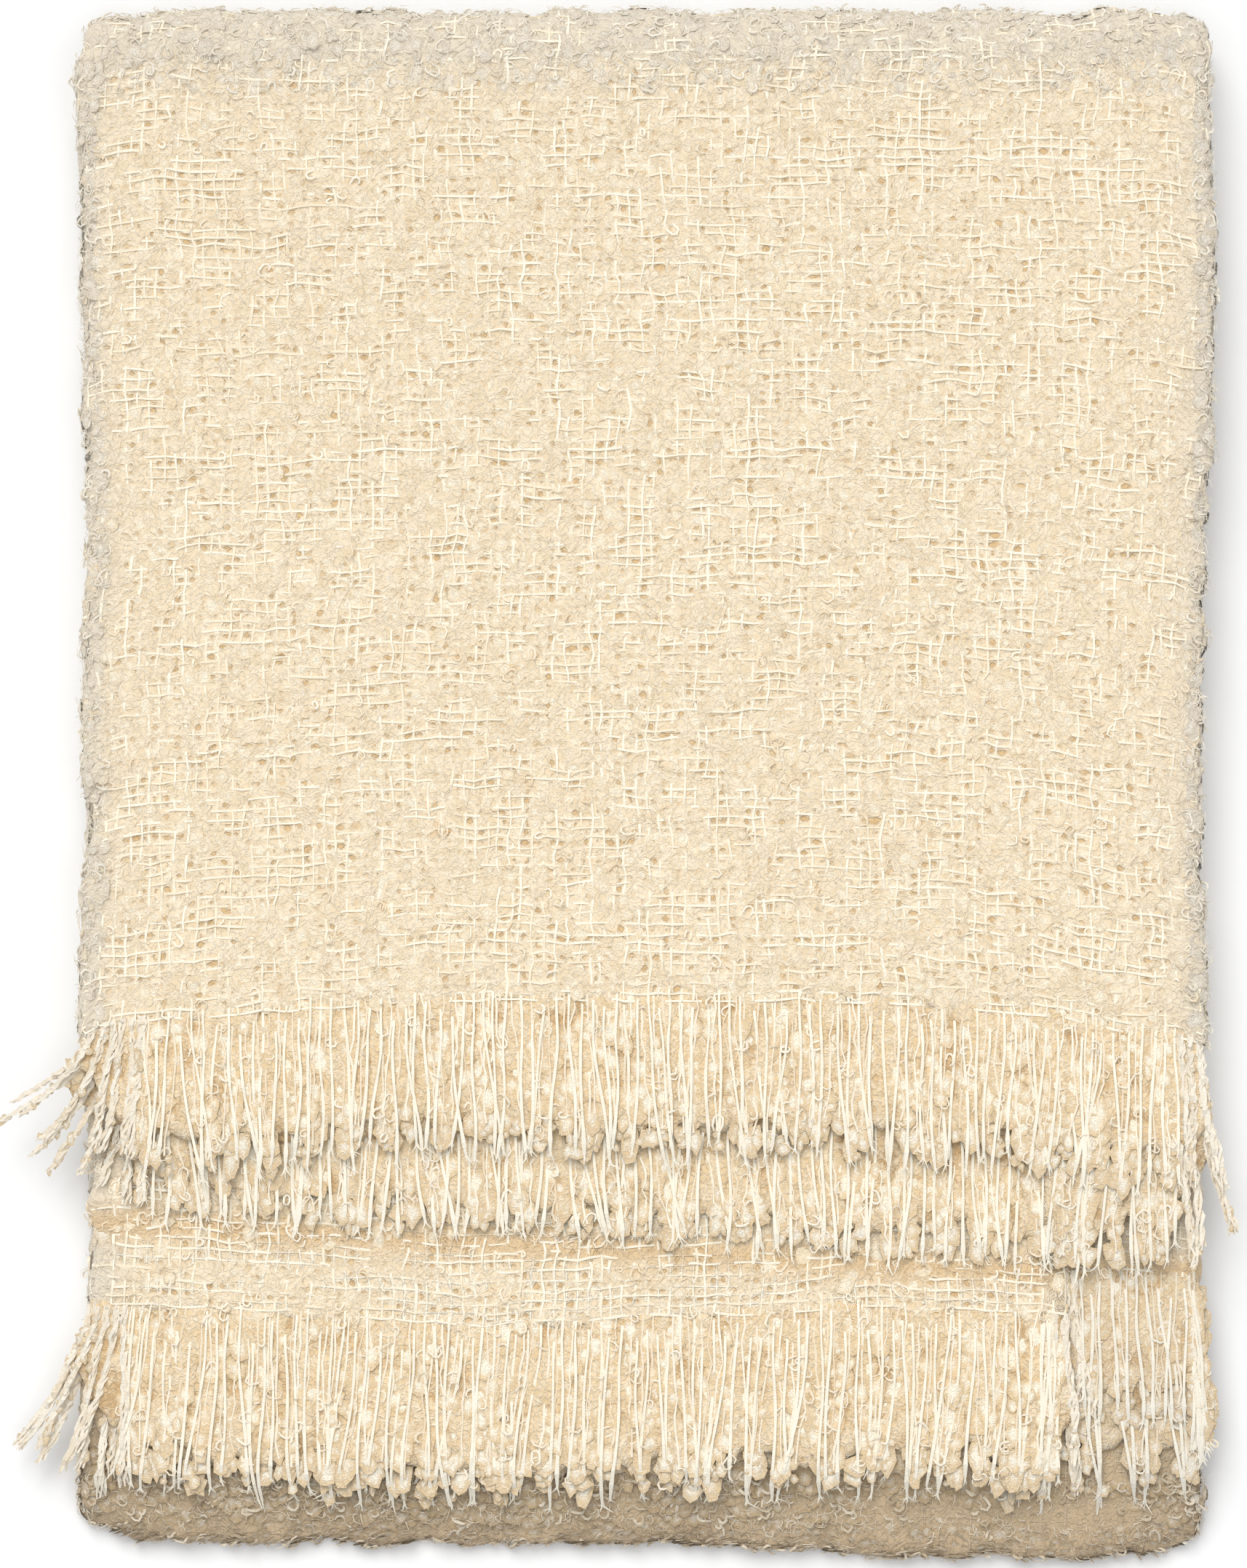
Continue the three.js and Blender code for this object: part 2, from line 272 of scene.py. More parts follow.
@dataclass(frozen=True)
class ThrowShape:
    """How the cloth lies once it is folded: the same folds as the solids have.

    A strip is the number of the middle layer of three, from the first hem to the second. A swell
    is a share of the height, how fast it turns across and along, and where it starts. A blur is
    how softly a table is read.
    """

    thick: float = 2.6
    pitch: float = 3.4
    left: float = -208.0
    right: float = 224.0
    tucked_selvedge: float = -196.0
    short_selvedge: float = 171.0
    outer_turn: float = 281.0
    near_turn: float = -284.0
    first_hem: float = -90.0
    second_hem: float = -205.0
    fold_lengths: tuple[float, float, float] = (54.0, 24.0, 20.0)
    strips: tuple[int, int, int, int] = (11, 2, 5, 8)
    fold_press: float = 0.85
    slope_loss: float = 0.55
    slope_top: float = -262.0
    slope_foot: float = -290.0
    middle: Span = (-2.52, -1.166)
    hem_blur: float = 4.0
    turn_blur: float = 8.0
    side_blur: float = 9.0
    swells: tuple[tuple[float, float, float, float], ...] = (
        (0.022, 0.0145, 0.004, 0.6),
        (0.018, -0.006, 0.0135, 2.1),
        (0.012, 0.011, 0.0125, 4.4),
    )

    @property
    def wide_x(self) -> float:
        """Where the wide fold at the left starts to turn."""
        return self.left + self.pitch + self.thick / 2

    @property
    def tight_x(self) -> float:
        """Where the tight fold at the right starts to turn."""
        return self.right - self.pitch / 2 - self.thick / 2

    @property
    def across_marks(self) -> Marks:
        """Distances across the cloth at which its stretches begin."""
        lengths = (
            self.short_selvedge - self.wide_x,
            math.pi * self.pitch,
            self.tight_x - self.wide_x,
            math.pi * self.pitch / 2,
            self.tight_x - self.tucked_selvedge,
        )
        return Marks(0.0, *np.cumsum(lengths))

    @property
    def along_marks(self) -> np.ndarray:
        """Distances along the cloth at its whole stages.

        Returns:
            The distances, from the first hem's to the second's.
        """
        far, panel = self.outer_turn, self.outer_turn - self.near_turn
        outer, near, inner = self.fold_lengths
        lengths = (far - self.first_hem, outer, panel, near, panel, inner, far - self.second_hem)
        return np.concatenate([[0.0], np.cumsum(lengths)])

    def layer(self, number: float) -> float:
        """The height of the middle of a layer, counted from the lowest."""
        return self.thick / 2 + (number - 1) * self.pitch

    def section(self, across: np.ndarray) -> tuple[np.ndarray, ...]:
        """Where places lie in the section across the cloth.

        Args:
            across: distances across the cloth.

        Returns:
            Plan x, rise above the middle of the three layers, and the outer side's two parts.
        """
        marks, tight_pitch = self.across_marks, self.pitch / 2
        across = np.clip(across, 0, marks.selvedge)
        wide = -math.pi / 2 - (across - marks.wide_fold) / self.pitch
        tight = math.pi / 2 - (across - marks.tight_fold) / tight_pitch
        where = [across < mark for mark in marks[1:5]]
        zero, one = np.zeros_like(across), np.ones_like(across)
        nx = np.select(where, [zero, np.cos(wide), zero, np.cos(tight)], zero)
        nr = np.select(where, [-one, np.sin(wide), one, np.sin(tight)], -one)
        x = np.select(
            where,
            [
                self.short_selvedge - across,
                self.wide_x + self.pitch * np.cos(wide),
                self.wide_x + (across - marks.middle),
                self.tight_x + tight_pitch * np.cos(tight),
            ],
            self.tight_x - (across - marks.tucked),
        )
        rises = [
            -self.pitch * one,
            self.pitch * np.sin(wide),
            self.pitch * one,
            tight_pitch + tight_pitch * np.sin(tight),
        ]
        return x, np.select(where, rises, zero), nx, nr

    def hem(self, across: np.ndarray, end: End) -> np.ndarray:
        """Where the hem lies.

        Args:
            across: distances across the cloth.
            end: which end's hem.

        Returns:
            Its plan y at each distance.
        """
        marks, x = self.across_marks, self.section(across)[0]
        tables = (SHORT_HEMS, MIDDLE_HEMS, TUCKED_HEMS)
        short, middle, tucked = (table.at(x, end.value, self.hem_blur) for table in tables)
        wide = np.clip((across - marks.wide_fold) / (marks.middle - marks.wide_fold), 0, 1)
        tight = np.clip((across - marks.tight_fold) / (marks.tucked - marks.tight_fold), 0, 1)
        return short + (middle - short) * wide + (tucked - middle) * tight

    def far(self, x: np.ndarray) -> np.ndarray:
        """Where the outer fold turns, for a plan x."""
        return self.outer_turn + OUTER_FOLD.at(x, "shift", self.turn_blur)

    def near(self, x: np.ndarray) -> np.ndarray:
        """Where the near fold turns, for a plan x."""
        return self.near_turn + NEAR_FOLD.at(x, "shift", self.turn_blur)

    def lay(self, x: np.ndarray, y: np.ndarray, z: np.ndarray) -> np.ndarray:
        """Lays places of the even stack where the wandering one has them.

        Args:
            x: plan x.
            y: plan y.
            z: height.

        Returns:
            An array of places, one more axis than x has.
        """
        left = SIDE_FOLDS.at(y, "left", self.side_blur) - self.left
        right = SIDE_FOLDS.at(y, "right", self.side_blur) - self.right
        share = np.clip((x - self.left) / (self.right - self.left), 0, 1)
        swell = sum(s * np.sin(a * x + b * y + phase) for s, a, b, phase in self.swells)
        laid_x = x + left + (right - left) * share - self.middle[0]
        down = np.clip((self.slope_top - y) / (self.slope_top - self.slope_foot), 0, 1)
        sloped = 1 - self.slope_loss * smooth(down)
        return np.stack([laid_x, y - self.middle[1], z * (1 + swell) * sloped], axis=-1)

    def surface(self, across: np.ndarray, along: np.ndarray, lift: np.ndarray) -> np.ndarray:
        """Places in or near the folded cloth.

        Args:
            across: distances across the cloth.
            along: stages along it, from 0 at the first hem to 7 at the second.
            lift: distance from the cloth's middle, towards its outer side.

        Returns:
            An array of places in millimetres.
        """
        across, along, lift = np.broadcast_arrays(
            np.asarray(across, float), np.asarray(along, float), np.asarray(lift, float)
        )
        x, rise, nx, nr = self.section(across)
        far, near = self.far(x), self.near(x)
        top, bottom, third, second = (self.layer(number) for number in self.strips)
        stage = np.clip(np.floor(along), 0, STAGES - 1).astype(int)
        part = along - stage
        starts = (self.hem(across, End.FIRST), far, far, near, near, far, far)
        stops = (far, far, near, near, far, far, self.hem(across, End.SECOND))
        y = np.choose(stage, starts) + (np.choose(stage, stops) - np.choose(stage, starts)) * part
        quarter, turned = math.pi / 2, math.pi * part
        folds = [stage == Fold.OUTER, stage == Fold.NEAR]
        angle = np.select(folds, [quarter - turned, -quarter - turned], -quarter + turned)
        radius = np.select(folds, [(top - bottom) / 2, (third - bottom) / 2], (second - third) / 2)
        centre = np.select(folds, [(top + bottom) / 2, (third + bottom) / 2], (second + third) / 2)
        heights = np.choose(stage, (top, top, bottom, bottom, third, third, second))
        sides = np.choose(stage, (1.0, 1.0, -1.0, -1.0, 1.0, 1.0, -1.0))
        turning = np.isin(stage, list(Fold))
        outwards = np.where(stage == Fold.INNER, -1.0, 1.0)
        ny = np.where(turning, outwards * np.cos(angle), 0.0)
        nz = np.where(turning, outwards * np.sin(angle), sides)
        y = np.where(turning, y + radius * np.cos(angle), y)
        z = np.where(turning, centre + radius * np.sin(angle), heights)
        offset = rise + lift * nr
        y, z = y + ny * offset, z + nz * offset
        y = np.where(y > self.outer_turn, self.outer_turn + (y - self.outer_turn) * self.fold_press, y)
        return self.lay(x + lift * nx, y, z)

    def stages(self, millimetres: np.ndarray) -> np.ndarray:
        """The stages along the folds at distances along the cloth."""
        return np.interp(millimetres, self.along_marks, np.arange(STAGES + 1.0))

    def distances(self, along: np.ndarray) -> np.ndarray:
        """The distances along the cloth at stages along the folds."""
        return np.interp(along, np.arange(STAGES + 1.0), self.along_marks)


@dataclass(frozen=True)
class Weave:
    """The open plain weave: a thin smooth binder each way, pulled out of line by the boucle.

    Pitches, drifts, lumps and the sizes of their swells are in millimetres.
    """

    shape: ThrowShape
    warp_pitch: float = 4.5
    weft_pitch: float = 3.8
    warp_drift: float = 1.15
    weft_drift: float = 1.05
    pull_sizes: Span = (8.0, 9.0)
    jog: float = 0.5
    jog_sizes: Span = (3.7, 4.1)
    own_drift: float = 0.7
    own_widths: Span = (3.3, 2.9)
    own_length: float = 60.0
    dip: float = 0.22
    warps: Unevenness = field(default_factory=lambda: Unevenness(11))
    wefts: Unevenness = field(default_factory=lambda: Unevenness(12))
    patches: Unevenness = field(default_factory=lambda: Unevenness(13))
    lumps: Unevenness = field(default_factory=lambda: Unevenness(21))
    fluff_mean: float = 0.5
    fluff_weights: tuple[float, float, float] = (0.1, 0.18, 0.95)
    fluff_sizes: tuple[float, float, float] = (24.0, 7.3, 3.7)
    fold_fluff: float = 0.35
    wide_fold_reach: float = 5.0
    fold_reach: float = 8.0
    lump: float = 0.5
    lump_sizes: Span = (7.0, 17.0)
    pressed: float = 0.35
    edge_lump: float = 2.0
    edge_lump_sizes: Span = (6.5, 14.0)
    open_edge: float = 0.5
    open_above: float = 2.2
    open_hem: float = 6.85

    def drift(self, across: np.ndarray, distance: np.ndarray) -> tuple[np.ndarray, np.ndarray]:
        """How far crossings are pulled out of line.

        Args:
            across: their distances across the cloth.
            distance: their distances along it.

        Returns:
            How far across and how far along, in millimetres.
        """
        (pull, sink), (jog, sunk_jog), (wide, tall) = self.pull_sizes, self.jog_sizes, self.own_widths
        pulled = self.warps.at(across, distance, pull) + self.jog * self.patches.at(across, distance, jog)
        sunk = self.wefts.at(across, distance, sink)
        sunk = sunk + self.jog * self.patches.at(across, distance + 40, sunk_jog)
        own_warp = self.own_drift * self.wefts.at(across / wide, distance / self.own_length, 1.0)
        own_weft = self.own_drift * self.warps.at(across / self.own_length, distance / tall, 1.0)
        return self.warp_drift * (pulled + own_warp), self.weft_drift * (sunk + own_weft)

    def edge(self, across: np.ndarray, distance: np.ndarray) -> np.ndarray:
        """How near places are to a fold.

        Args:
            across: distances across the cloth.
            distance: distances along it.

        Returns:
            From 0 on the flat to 1 in the fold.
        """
        marks, turns = self.shape.across_marks, self.shape.along_marks
        spans = [
            (across, marks.wide_fold, marks.middle, self.wide_fold_reach),
            (across, marks.tight_fold, marks.tucked, self.fold_reach),
        ]
        spans += [(distance, *turns[fold : fold + 2], self.fold_reach) for fold in Fold]
        far = [np.maximum(0, np.maximum(low - at, at - high)) / reach for at, low, high, reach in spans]
        return np.exp(-np.minimum.reduce(far))

    def fluff(self, across: np.ndarray, distance: np.ndarray) -> np.ndarray:
        """How much boucle hides the binder.

        Args:
            across: distances across the cloth.
            distance: distances along it.

        Returns:
            From 0 to 1.
        """
        wide, small, fine = self.fluff_sizes
        noises = (
            self.patches.at(across, distance, wide),
            self.wefts.at(across + 300, distance, small),
            self.warps.at(across, distance + 500, fine),
        )
        fluffy = sum((w * noise for w, noise in zip(self.fluff_weights, noises)), start=self.fluff_mean)
        return np.clip(fluffy + self.fold_fluff * self.edge(across, distance), 0, 1)

    def edge_swell(self, across: np.ndarray, distance: np.ndarray) -> np.ndarray:
        """How far the wool at a fold stands out of line, in millimetres.

        Args:
            across: distances across the cloth.
            distance: distances along it.

        Returns:
            The swell at each place.
        """
        small, large = self.edge_lump_sizes
        wavy = 0.7 * self.lumps.at(across, distance, small) + self.lumps.at(across + 50, distance, large)
        return self.edge_lump * self.edge(across, distance) * wavy

    def swell(self, across: np.ndarray, distance: np.ndarray) -> np.ndarray:
        """How far the cloth's outer face stands out of line, in millimetres, most where it is seen.

        Args:
            across: distances across the cloth.
            distance: distances along it.

        Returns:
            The swell at each place.
        """
        marks, stage = self.shape.across_marks, self.shape.stages(distance)
        small, large = self.lump_sizes
        lumpy = self.lumps.at(across, distance, small) + 0.5 * self.lumps.at(across + 90, distance, large)
        open_air = (across > marks.wide_fold) & (across < marks.tucked) & (stage < self.open_above)
        open_air |= self.edge(across, distance) > self.open_edge
        open_air |= (stage > self.open_hem) & (across < marks.wide_fold)
        uneven = lumpy * 0.6 + self.fluff(across, distance) - 0.5
        flat = self.lump * np.where(open_air, 1.0, self.pressed) * uneven
        return flat + self.edge_swell(across, distance)


class MeshParts:
    """Vertices and faces that are gathered and then made into one piece."""

    def __init__(self) -> None:
        """Starts with nothing."""
        self.places: list[np.ndarray] = []
        self.quads: list[np.ndarray] = []
        self.triangles: list[np.ndarray] = []
        self.tones: list[np.ndarray] = []
        self.greys_and_shades: list[np.ndarray] = []
        self.looks: list[np.ndarray] = []
        self.grey_and_shade = 0.0
        self.count = 0

    def add(
        self,
        places: np.ndarray,
        quads: np.ndarray,
        triangles: np.ndarray,
        tone: np.ndarray,
        grey_and_shade: np.ndarray | float | None = None,
    ) -> None:
        """Adds one lot of faces.

        Args:
            places: vertices, in millimetres.
            quads: rows of four vertex numbers.
            triangles: rows of three vertex numbers.
            tone: a shade from 0 to 1 for each vertex.
            grey_and_shade: how far the wool is drained cooler and darker there, from 0 to 1, for its own
                greyness and as painted shade, or None for what is set for the parts.
        """
        self.places.append(places.reshape(-1, 3))
        self.quads.append(quads.reshape(-1, 4) + self.count)
        self.triangles.append(triangles.reshape(-1, 3) + self.count)
        self.tones.append(np.broadcast_to(tone, (len(self.places[-1]),)))
        self.greys_and_shades.append(np.broadcast_to(self.grey_and_shade if grey_and_shade is None else grey_and_shade, (len(self.places[-1]),)))
        self.count += len(self.places[-1])

    def add_yarns(
        self,
        paths: np.ndarray,
        radii: np.ndarray,
        toward: np.ndarray,
        tones: np.ndarray,
        grey_and_shade: np.ndarray | float | None = None,
        sides: int = 3,
    ) -> None:
        """Adds closed yarns along paths.

        Args:
            paths: places, as yarns by points by three.
            radii: a radius for each point.
            toward: the way that a flat side of the yarn looks, never along the path.
            tones: a shade for each yarn.
            grey_and_shade: how far each of a yarn's points is drained cooler and darker, for its own greyness
                and as painted shade, the same for all yarns, or None.
            sides: the number of sides that a yarn has.
        """
        yarns, points, _ = paths.shape
        along = unit(np.gradient(paths, axis=1), SPARE)
        up = square_to(np.broadcast_to(toward, paths.shape), along)
        beside = np.cross(along, up)
        angles = (np.arange(sides) + 0.5) * 2 * math.pi / sides
        rings = (
            paths[:, :, None, :]
            + (radii[:, :, None, None] * np.cos(angles)[:, None]) * up[:, :, None, :]
            + (radii[:, :, None, None] * np.sin(angles)[:, None]) * beside[:, :, None, :]
        )
        number = np.arange(yarns * points * sides).reshape(yarns, points, sides)
        turned = np.roll(number, -1, axis=2)
        quads = np.stack([number[:, :-1], turned[:, :-1], turned[:, 1:], number[:, 1:]], axis=-1)
        ends = np.concatenate([number[:, 0, ::-1], number[:, -1]])
        caps = np.concatenate([ends[:, [0, side, side + 1]] for side in range(1, sides - 1)])
        shades = np.repeat(np.asarray(tones), points * sides)
        greys_and_shades = None if grey_and_shade is None else np.repeat(np.broadcast_to(grey_and_shade, (yarns, points)).ravel(), sides)
        self.add(rings, quads, caps, shades, greys_and_shades)

    def add_sheet(
        self, outer: np.ndarray, inner: np.ndarray, tone: np.ndarray, grey_and_shade: np.ndarray | float = 0.0
    ) -> None:
        """Adds a closed sheet between two faces.

        Args:
            outer: one face's places, rows by columns by three.
            inner: the other's.
            tone: a shade for each place of a face.
            grey_and_shade: how far each place of a face is drained cooler and darker, for its own greyness
                and as painted shade.
        """
        number = np.arange(outer[..., 0].size).reshape(outer.shape[:2])
        under = number + number.size
        upper = np.stack([number[:-1, :-1], number[:-1, 1:], number[1:, 1:], number[1:, :-1]], -1)
        lower = np.stack([under[:-1, :-1], under[1:, :-1], under[1:, 1:], under[:-1, 1:]], -1)
        rim = np.concatenate([number[0, :], number[1:, -1], number[-1, -2::-1], number[-2:0:-1, 0]])
        after = np.roll(rim, -1)
        wall = np.stack([rim, rim + number.size, after + number.size, after], -1)
        quads = np.concatenate([upper.reshape(-1, 4), lower.reshape(-1, 4), wall])
        places = np.concatenate([outer.reshape(-1, 3), inner.reshape(-1, 3)])
        a, b, c, d = (places[quads[:, corner]] for corner in range(4))
        volume = np.sum(a * np.cross(b, c)) + np.sum(a * np.cross(c, d))
        quads = quads if volume > 0 else quads[:, ::-1]
        shades, greys_and_shades = (np.tile(np.broadcast_to(value, tone.shape).ravel(), 2) for value in (tone, grey_and_shade))
        self.add(places, quads, NO_TRIANGLES, shades, greys_and_shades)

    def make(self, name: str, rounded: bool = True) -> bpy.types.Object:
        """Makes the piece, with its shades in the attributes tone and grey, the second of which drains the
        wool for its own greyness and as painted shade.

        Args:
            name: the piece's name.
            rounded: whether it is shaded as round, which fine hairy yarns don't look.

        Returns:
            The new object.
        """
        places = np.concatenate(self.places) * MM
        quads, triangles = np.concatenate(self.quads), np.concatenate(self.triangles)
        corners = np.concatenate([quads.ravel(), triangles.ravel()]).astype(np.int32)
        sizes = np.repeat([4, 3], [len(quads), len(triangles)])
        starts = np.concatenate([[0], np.cumsum(sizes)[:-1]]).astype(np.int32)
        mesh = bpy.data.meshes.new(name)
        mesh.vertices.add(len(places))
        mesh.vertices.foreach_set("co", places.astype(np.float32).ravel())
        mesh.loops.add(len(corners))
        mesh.polygons.add(len(sizes))
        mesh.polygons.foreach_set("loop_start", starts)
        mesh.polygons.foreach_set("vertices", corners)
        mesh.update(calc_edges=True)
        mesh.validate()
        mesh.polygons.foreach_set("use_smooth", np.full(len(sizes), rounded))
        if self.looks:
            mesh.normals_split_custom_set_from_vertices(np.concatenate(self.looks))
        keep_values(mesh, "tone", np.concatenate(self.tones))
        keep_values(mesh, "grey_and_shade", np.concatenate(self.greys_and_shades))
        piece = bpy.data.objects.new(name, mesh)
        bpy.context.scene.collection.objects.link(piece)
        return piece


def linear(red: int, green: int, blue: int) -> Colour:
    """A colour as Blender wants it, from the usual 0 to 255 values."""
    parts = [value / 255 for value in (red, green, blue)]
    return tuple(p / 12.92 if p <= 0.04045 else ((p + 0.055) / 1.055) ** 2.4 for p in parts) + (1.0,)


class Value:
    """A shader socket that takes part in Python sums."""

    def __init__(self, graph: "Graph", socket: bpy.types.NodeSocket) -> None:
        """Wraps a socket of a graph."""
        self.graph = graph
        self.socket = socket

    def _sum(self, operation: str, *inputs: object) -> "Value":
        """A Math node of these values."""
        return self.graph.node("ShaderNodeMath", {"operation": operation}, dict(enumerate(inputs)))

    def __add__(self, other: object) -> "Value":
        """The sum."""
        return self._sum("ADD", self, other)

    __radd__ = __add__

    def __sub__(self, other: object) -> "Value":
        """The difference."""
        return self._sum("SUBTRACT", self, other)

    def __rsub__(self, other: object) -> "Value":
        """The difference, the other way round."""
        return self._sum("SUBTRACT", other, self)

    def __mul__(self, other: object) -> "Value":
        """The product."""
        return self._sum("MULTIPLY", self, other)

    __rmul__ = __mul__

    def away(self, other: object) -> "Value":
        """The distance from another value."""
        return self._sum("ABSOLUTE", self - other)

    def most(self, other: object) -> "Value":
        """The larger of two values."""
        return self._sum("MAXIMUM", self, other)

    def to_thread(self) -> "Value":
        """How far this is from the nearest whole number, from 0 to a half."""
        return 0.5 - self._sum("FRACT", self).away(0.5)

    def step(self, low: float, high: float) -> "Value":
        """A smooth step from 0 at low to 1 at high."""
        settings, span = {"interpolation_type": "SMOOTHSTEP"}, {"From Min": low, "From Max": high}
        return self.graph.node("ShaderNodeMapRange", settings, {"Value": self, **span})


class Graph:
    """The nodes of one material."""

    def __init__(self, name: str) -> None:
        """Starts a material with an empty graph.

        Args:
            name: the material's name.
        """
        self.material = bpy.data.materials.new(name)
        self.material.use_nodes = True
        self.material.node_tree.nodes.clear()

    def node(self, kind: str, settings: dict, inputs: dict, output: int | str = 0) -> Value:
        """Adds a node.

        Args:
            kind: the node's type.
            settings: its settings, set before its sockets.
            inputs: values or links, by the socket's name or number.
            output: which output is wanted.

        Returns:
            The wanted output.
        """
        made = self.material.node_tree.nodes.new(kind)
        for name, value in settings.items():
            setattr(made, name, value)
        for name, value in inputs.items():
            socket = made.inputs[name] if isinstance(name, int) else self.open_socket(made.inputs, name)
            if isinstance(value, Value):
                self.material.node_tree.links.new(value.socket, socket)
            else:
                socket.default_value = value
        found = made.outputs[output] if isinstance(output, int) else self.open_socket(made.outputs, output)
        return Value(self, found)

    def open_socket(self, sockets: bpy.types.NodeInputs, name: str) -> bpy.types.NodeSocket:
        """The socket of this name that the node's settings leave in use."""
        return next(socket for socket in sockets if socket.name == name and socket.enabled)

    def attribute(self, name: str) -> Value:
        """A value kept on the mesh."""
        return self.node("ShaderNodeAttribute", {"attribute_name": name}, {}, "Fac")

    def object_place(self, scale: Colour | tuple[float, float, float] | None = None) -> Value:
        """The place on the object, in metres, or in the units that a scale gives."""
        place = self.node("ShaderNodeTexCoord", {}, {}, "Object")
        return place if scale is None else self.vector("MULTIPLY", place, scale)

    def vector(self, operation: str, first: object, second: object) -> Value:
        """A Vector Math node of two vectors."""
        return self.node("ShaderNodeVectorMath", {"operation": operation}, {0: first, 1: second})

    def mix(self, share: object, first: object, second: object) -> Value:
        """A colour between two."""
        inputs = {"Factor": share, "A": first, "B": second}
        return self.node("ShaderNodeMix", {"data_type": "RGBA"}, inputs, "Result")

    def greyed_and_shaded(self, colour: Value) -> Value:
        """The colour, drained cooler and darker for the wool's own greyness and as painted shade."""
        return self.mix(self.attribute("grey_and_shade"), colour, self.vector("MULTIPLY", colour, (0.85, 0.865, 0.91)))

    def noise(
        self, place: Value, scale: float, detail: float = 2.0, flat: bool = False, output: str = "Fac"
    ) -> Value:
        """Noise from 0 to 1 at a place.

        Args:
            place: the place.
            scale: the noise's cells in one unit.
            detail: the number of finer layers.
            flat: whether the place has two coordinates only.
            output: Fac for a value, Color for three at once.

        Returns:
            The noise.
        """
        inputs = {"Vector": place, "Scale": scale, "Detail": detail, "Roughness": 0.6}
        settings = {"noise_dimensions": "2D" if flat else "3D"}
        return self.node("ShaderNodeTexNoise", settings, inputs, output)

    def loops(self, place: Value, size: float, missing: float) -> Value:
        """Boucle loops seen from above: rings with a hollow middle, some of them missing.

        Args:
            place: a flat place in millimetres.
            size: the distance from loop to loop.
            missing: the share of loops left out.

        Returns:
            Their height, from 0 to 1.
        """
        settings = {"voronoi_dimensions": "2D", "feature": "F1"}
        inputs = {"Vector": place, "Scale": 1 / size, "Randomness": 1.0}
        from_middle = self.node("ShaderNodeTexVoronoi", settings, inputs, "Distance")
        chance = self.node("ShaderNodeTexVoronoi", settings, inputs, "Color")
        ring = 1.0 - from_middle.away(0.28).step(0.0, 0.26)
        return ring * chance.step(missing, missing + 0.08)

    def fibres(self, place: Value, size: float, thin: float) -> Value:
        """Fine curved fibres: the lines along which a soft noise keeps one value.

        Args:
            place: a flat place in millimetres.
            size: how far the fibres lie apart, about.
            thin: how far the noise may be from that value.

        Returns:
            1 on a fibre and 0 between fibres.
        """
        return 1.0 - self.noise(place, 1 / size, 0.0, True).away(0.5).step(0.0, thin)

    def finish(self, colour: Value, bump: Value | None, depth: float, sheen: float) -> bpy.types.Material:
        """Closes the graph with matte wool.

        Args:
            colour: the base colour.
            bump: the height of the relief, or None.
            depth: what a height of 1 stands for, in metres.
            sheen: the weight of the fibres' sheen.

        Returns:
            The material.
        """
        inputs = {
            "Base Color": colour,
            "Roughness": 0.92,
            "Specular IOR Level": 0.15,
            "Sheen Weight": sheen,
            "Sheen Roughness": 0.6,
        }
        if bump is not None:
            bumped = {"Strength": 1.0, "Distance": depth, "Height": bump}
            inputs["Normal"] = self.node("ShaderNodeBump", {}, bumped)
        surface = self.node("ShaderNodeBsdfPrincipled", {}, inputs)
        output = self.material.node_tree.nodes.new("ShaderNodeOutputMaterial")
        self.material.node_tree.links.new(surface.socket, output.inputs["Surface"])
        return self.material


@dataclass(frozen=True)
class BoucleFace:
    """Boucle seen from above: loops and fine fibres over soft wool.

    A scale is the noise's cells in a millimetre. A loop is its size and the share that is missing,
    and fibres are how far they lie apart and how thin they are.
    """

    pull: float = 2.4
    pull_scale: float = 0.35
    soft_scale: float = 0.42
    blob_scale: float = 0.17
    large_loops: Span = (5.2, 0.45)
    small_loops: Span = (3.2, 0.4)
    small_height: float = 0.8
    near_fibres: Span = (2.6, 0.09)
    far_fibres: Span = (3.3, 0.08)
    aside: tuple[float, float, float] = (31.0, 17.0, 0.0)
    heights: tuple[float, float, float] = (0.25, 0.6, 0.22)
    tints: tuple[float, float, float] = (0.35, 0.35, 0.3)
    height_step: Span = (0.3, 0.75)
    blob_step: Span = (0.35, 0.65)

    def draw(self, graph: Graph, place: Value, shade: Colour, wool: Colour) -> tuple[Value, Value, Value]:
        """Adds the face to a material.

        Args:
            graph: the material's graph.
            place: a flat place in millimetres.
            shade: the colour deep in the wool, a painted shade where the face lies low.
            wool: the colour on top.

        Returns:
            The colour, the height from 0 to 1 and the softest noise.
        """
        stir = graph.noise(place, self.pull_scale, 1.0, True, "Color")
        moved = graph.vector("ADD", place, graph.vector("MULTIPLY", stir, (self.pull, self.pull, 0.0)))
        soft = graph.noise(moved, self.soft_scale, 2.0, True)
        blobs = graph.noise(moved, self.blob_scale, 1.0, True)
        small = self.small_height * graph.loops(moved, *self.small_loops)
        rings = graph.loops(moved, *self.large_loops).most(small)
        other = graph.fibres(graph.vector("ADD", place, self.aside), *self.far_fibres)
        hairs = graph.fibres(moved, *self.near_fibres).most(other)
        of_rings, of_soft, of_hairs = self.heights
        height = of_rings * rings + of_soft * soft + of_hairs * hairs
        # Painted shade: low parts of the face take the deeper colour, as shade between the loops.
        by_height, by_blobs, by_hairs = self.tints
        tint = by_height * height.step(*self.height_step) + by_blobs * blobs.step(*self.blob_step)
        return graph.mix(tint + by_hairs * hairs, shade, wool), height, soft


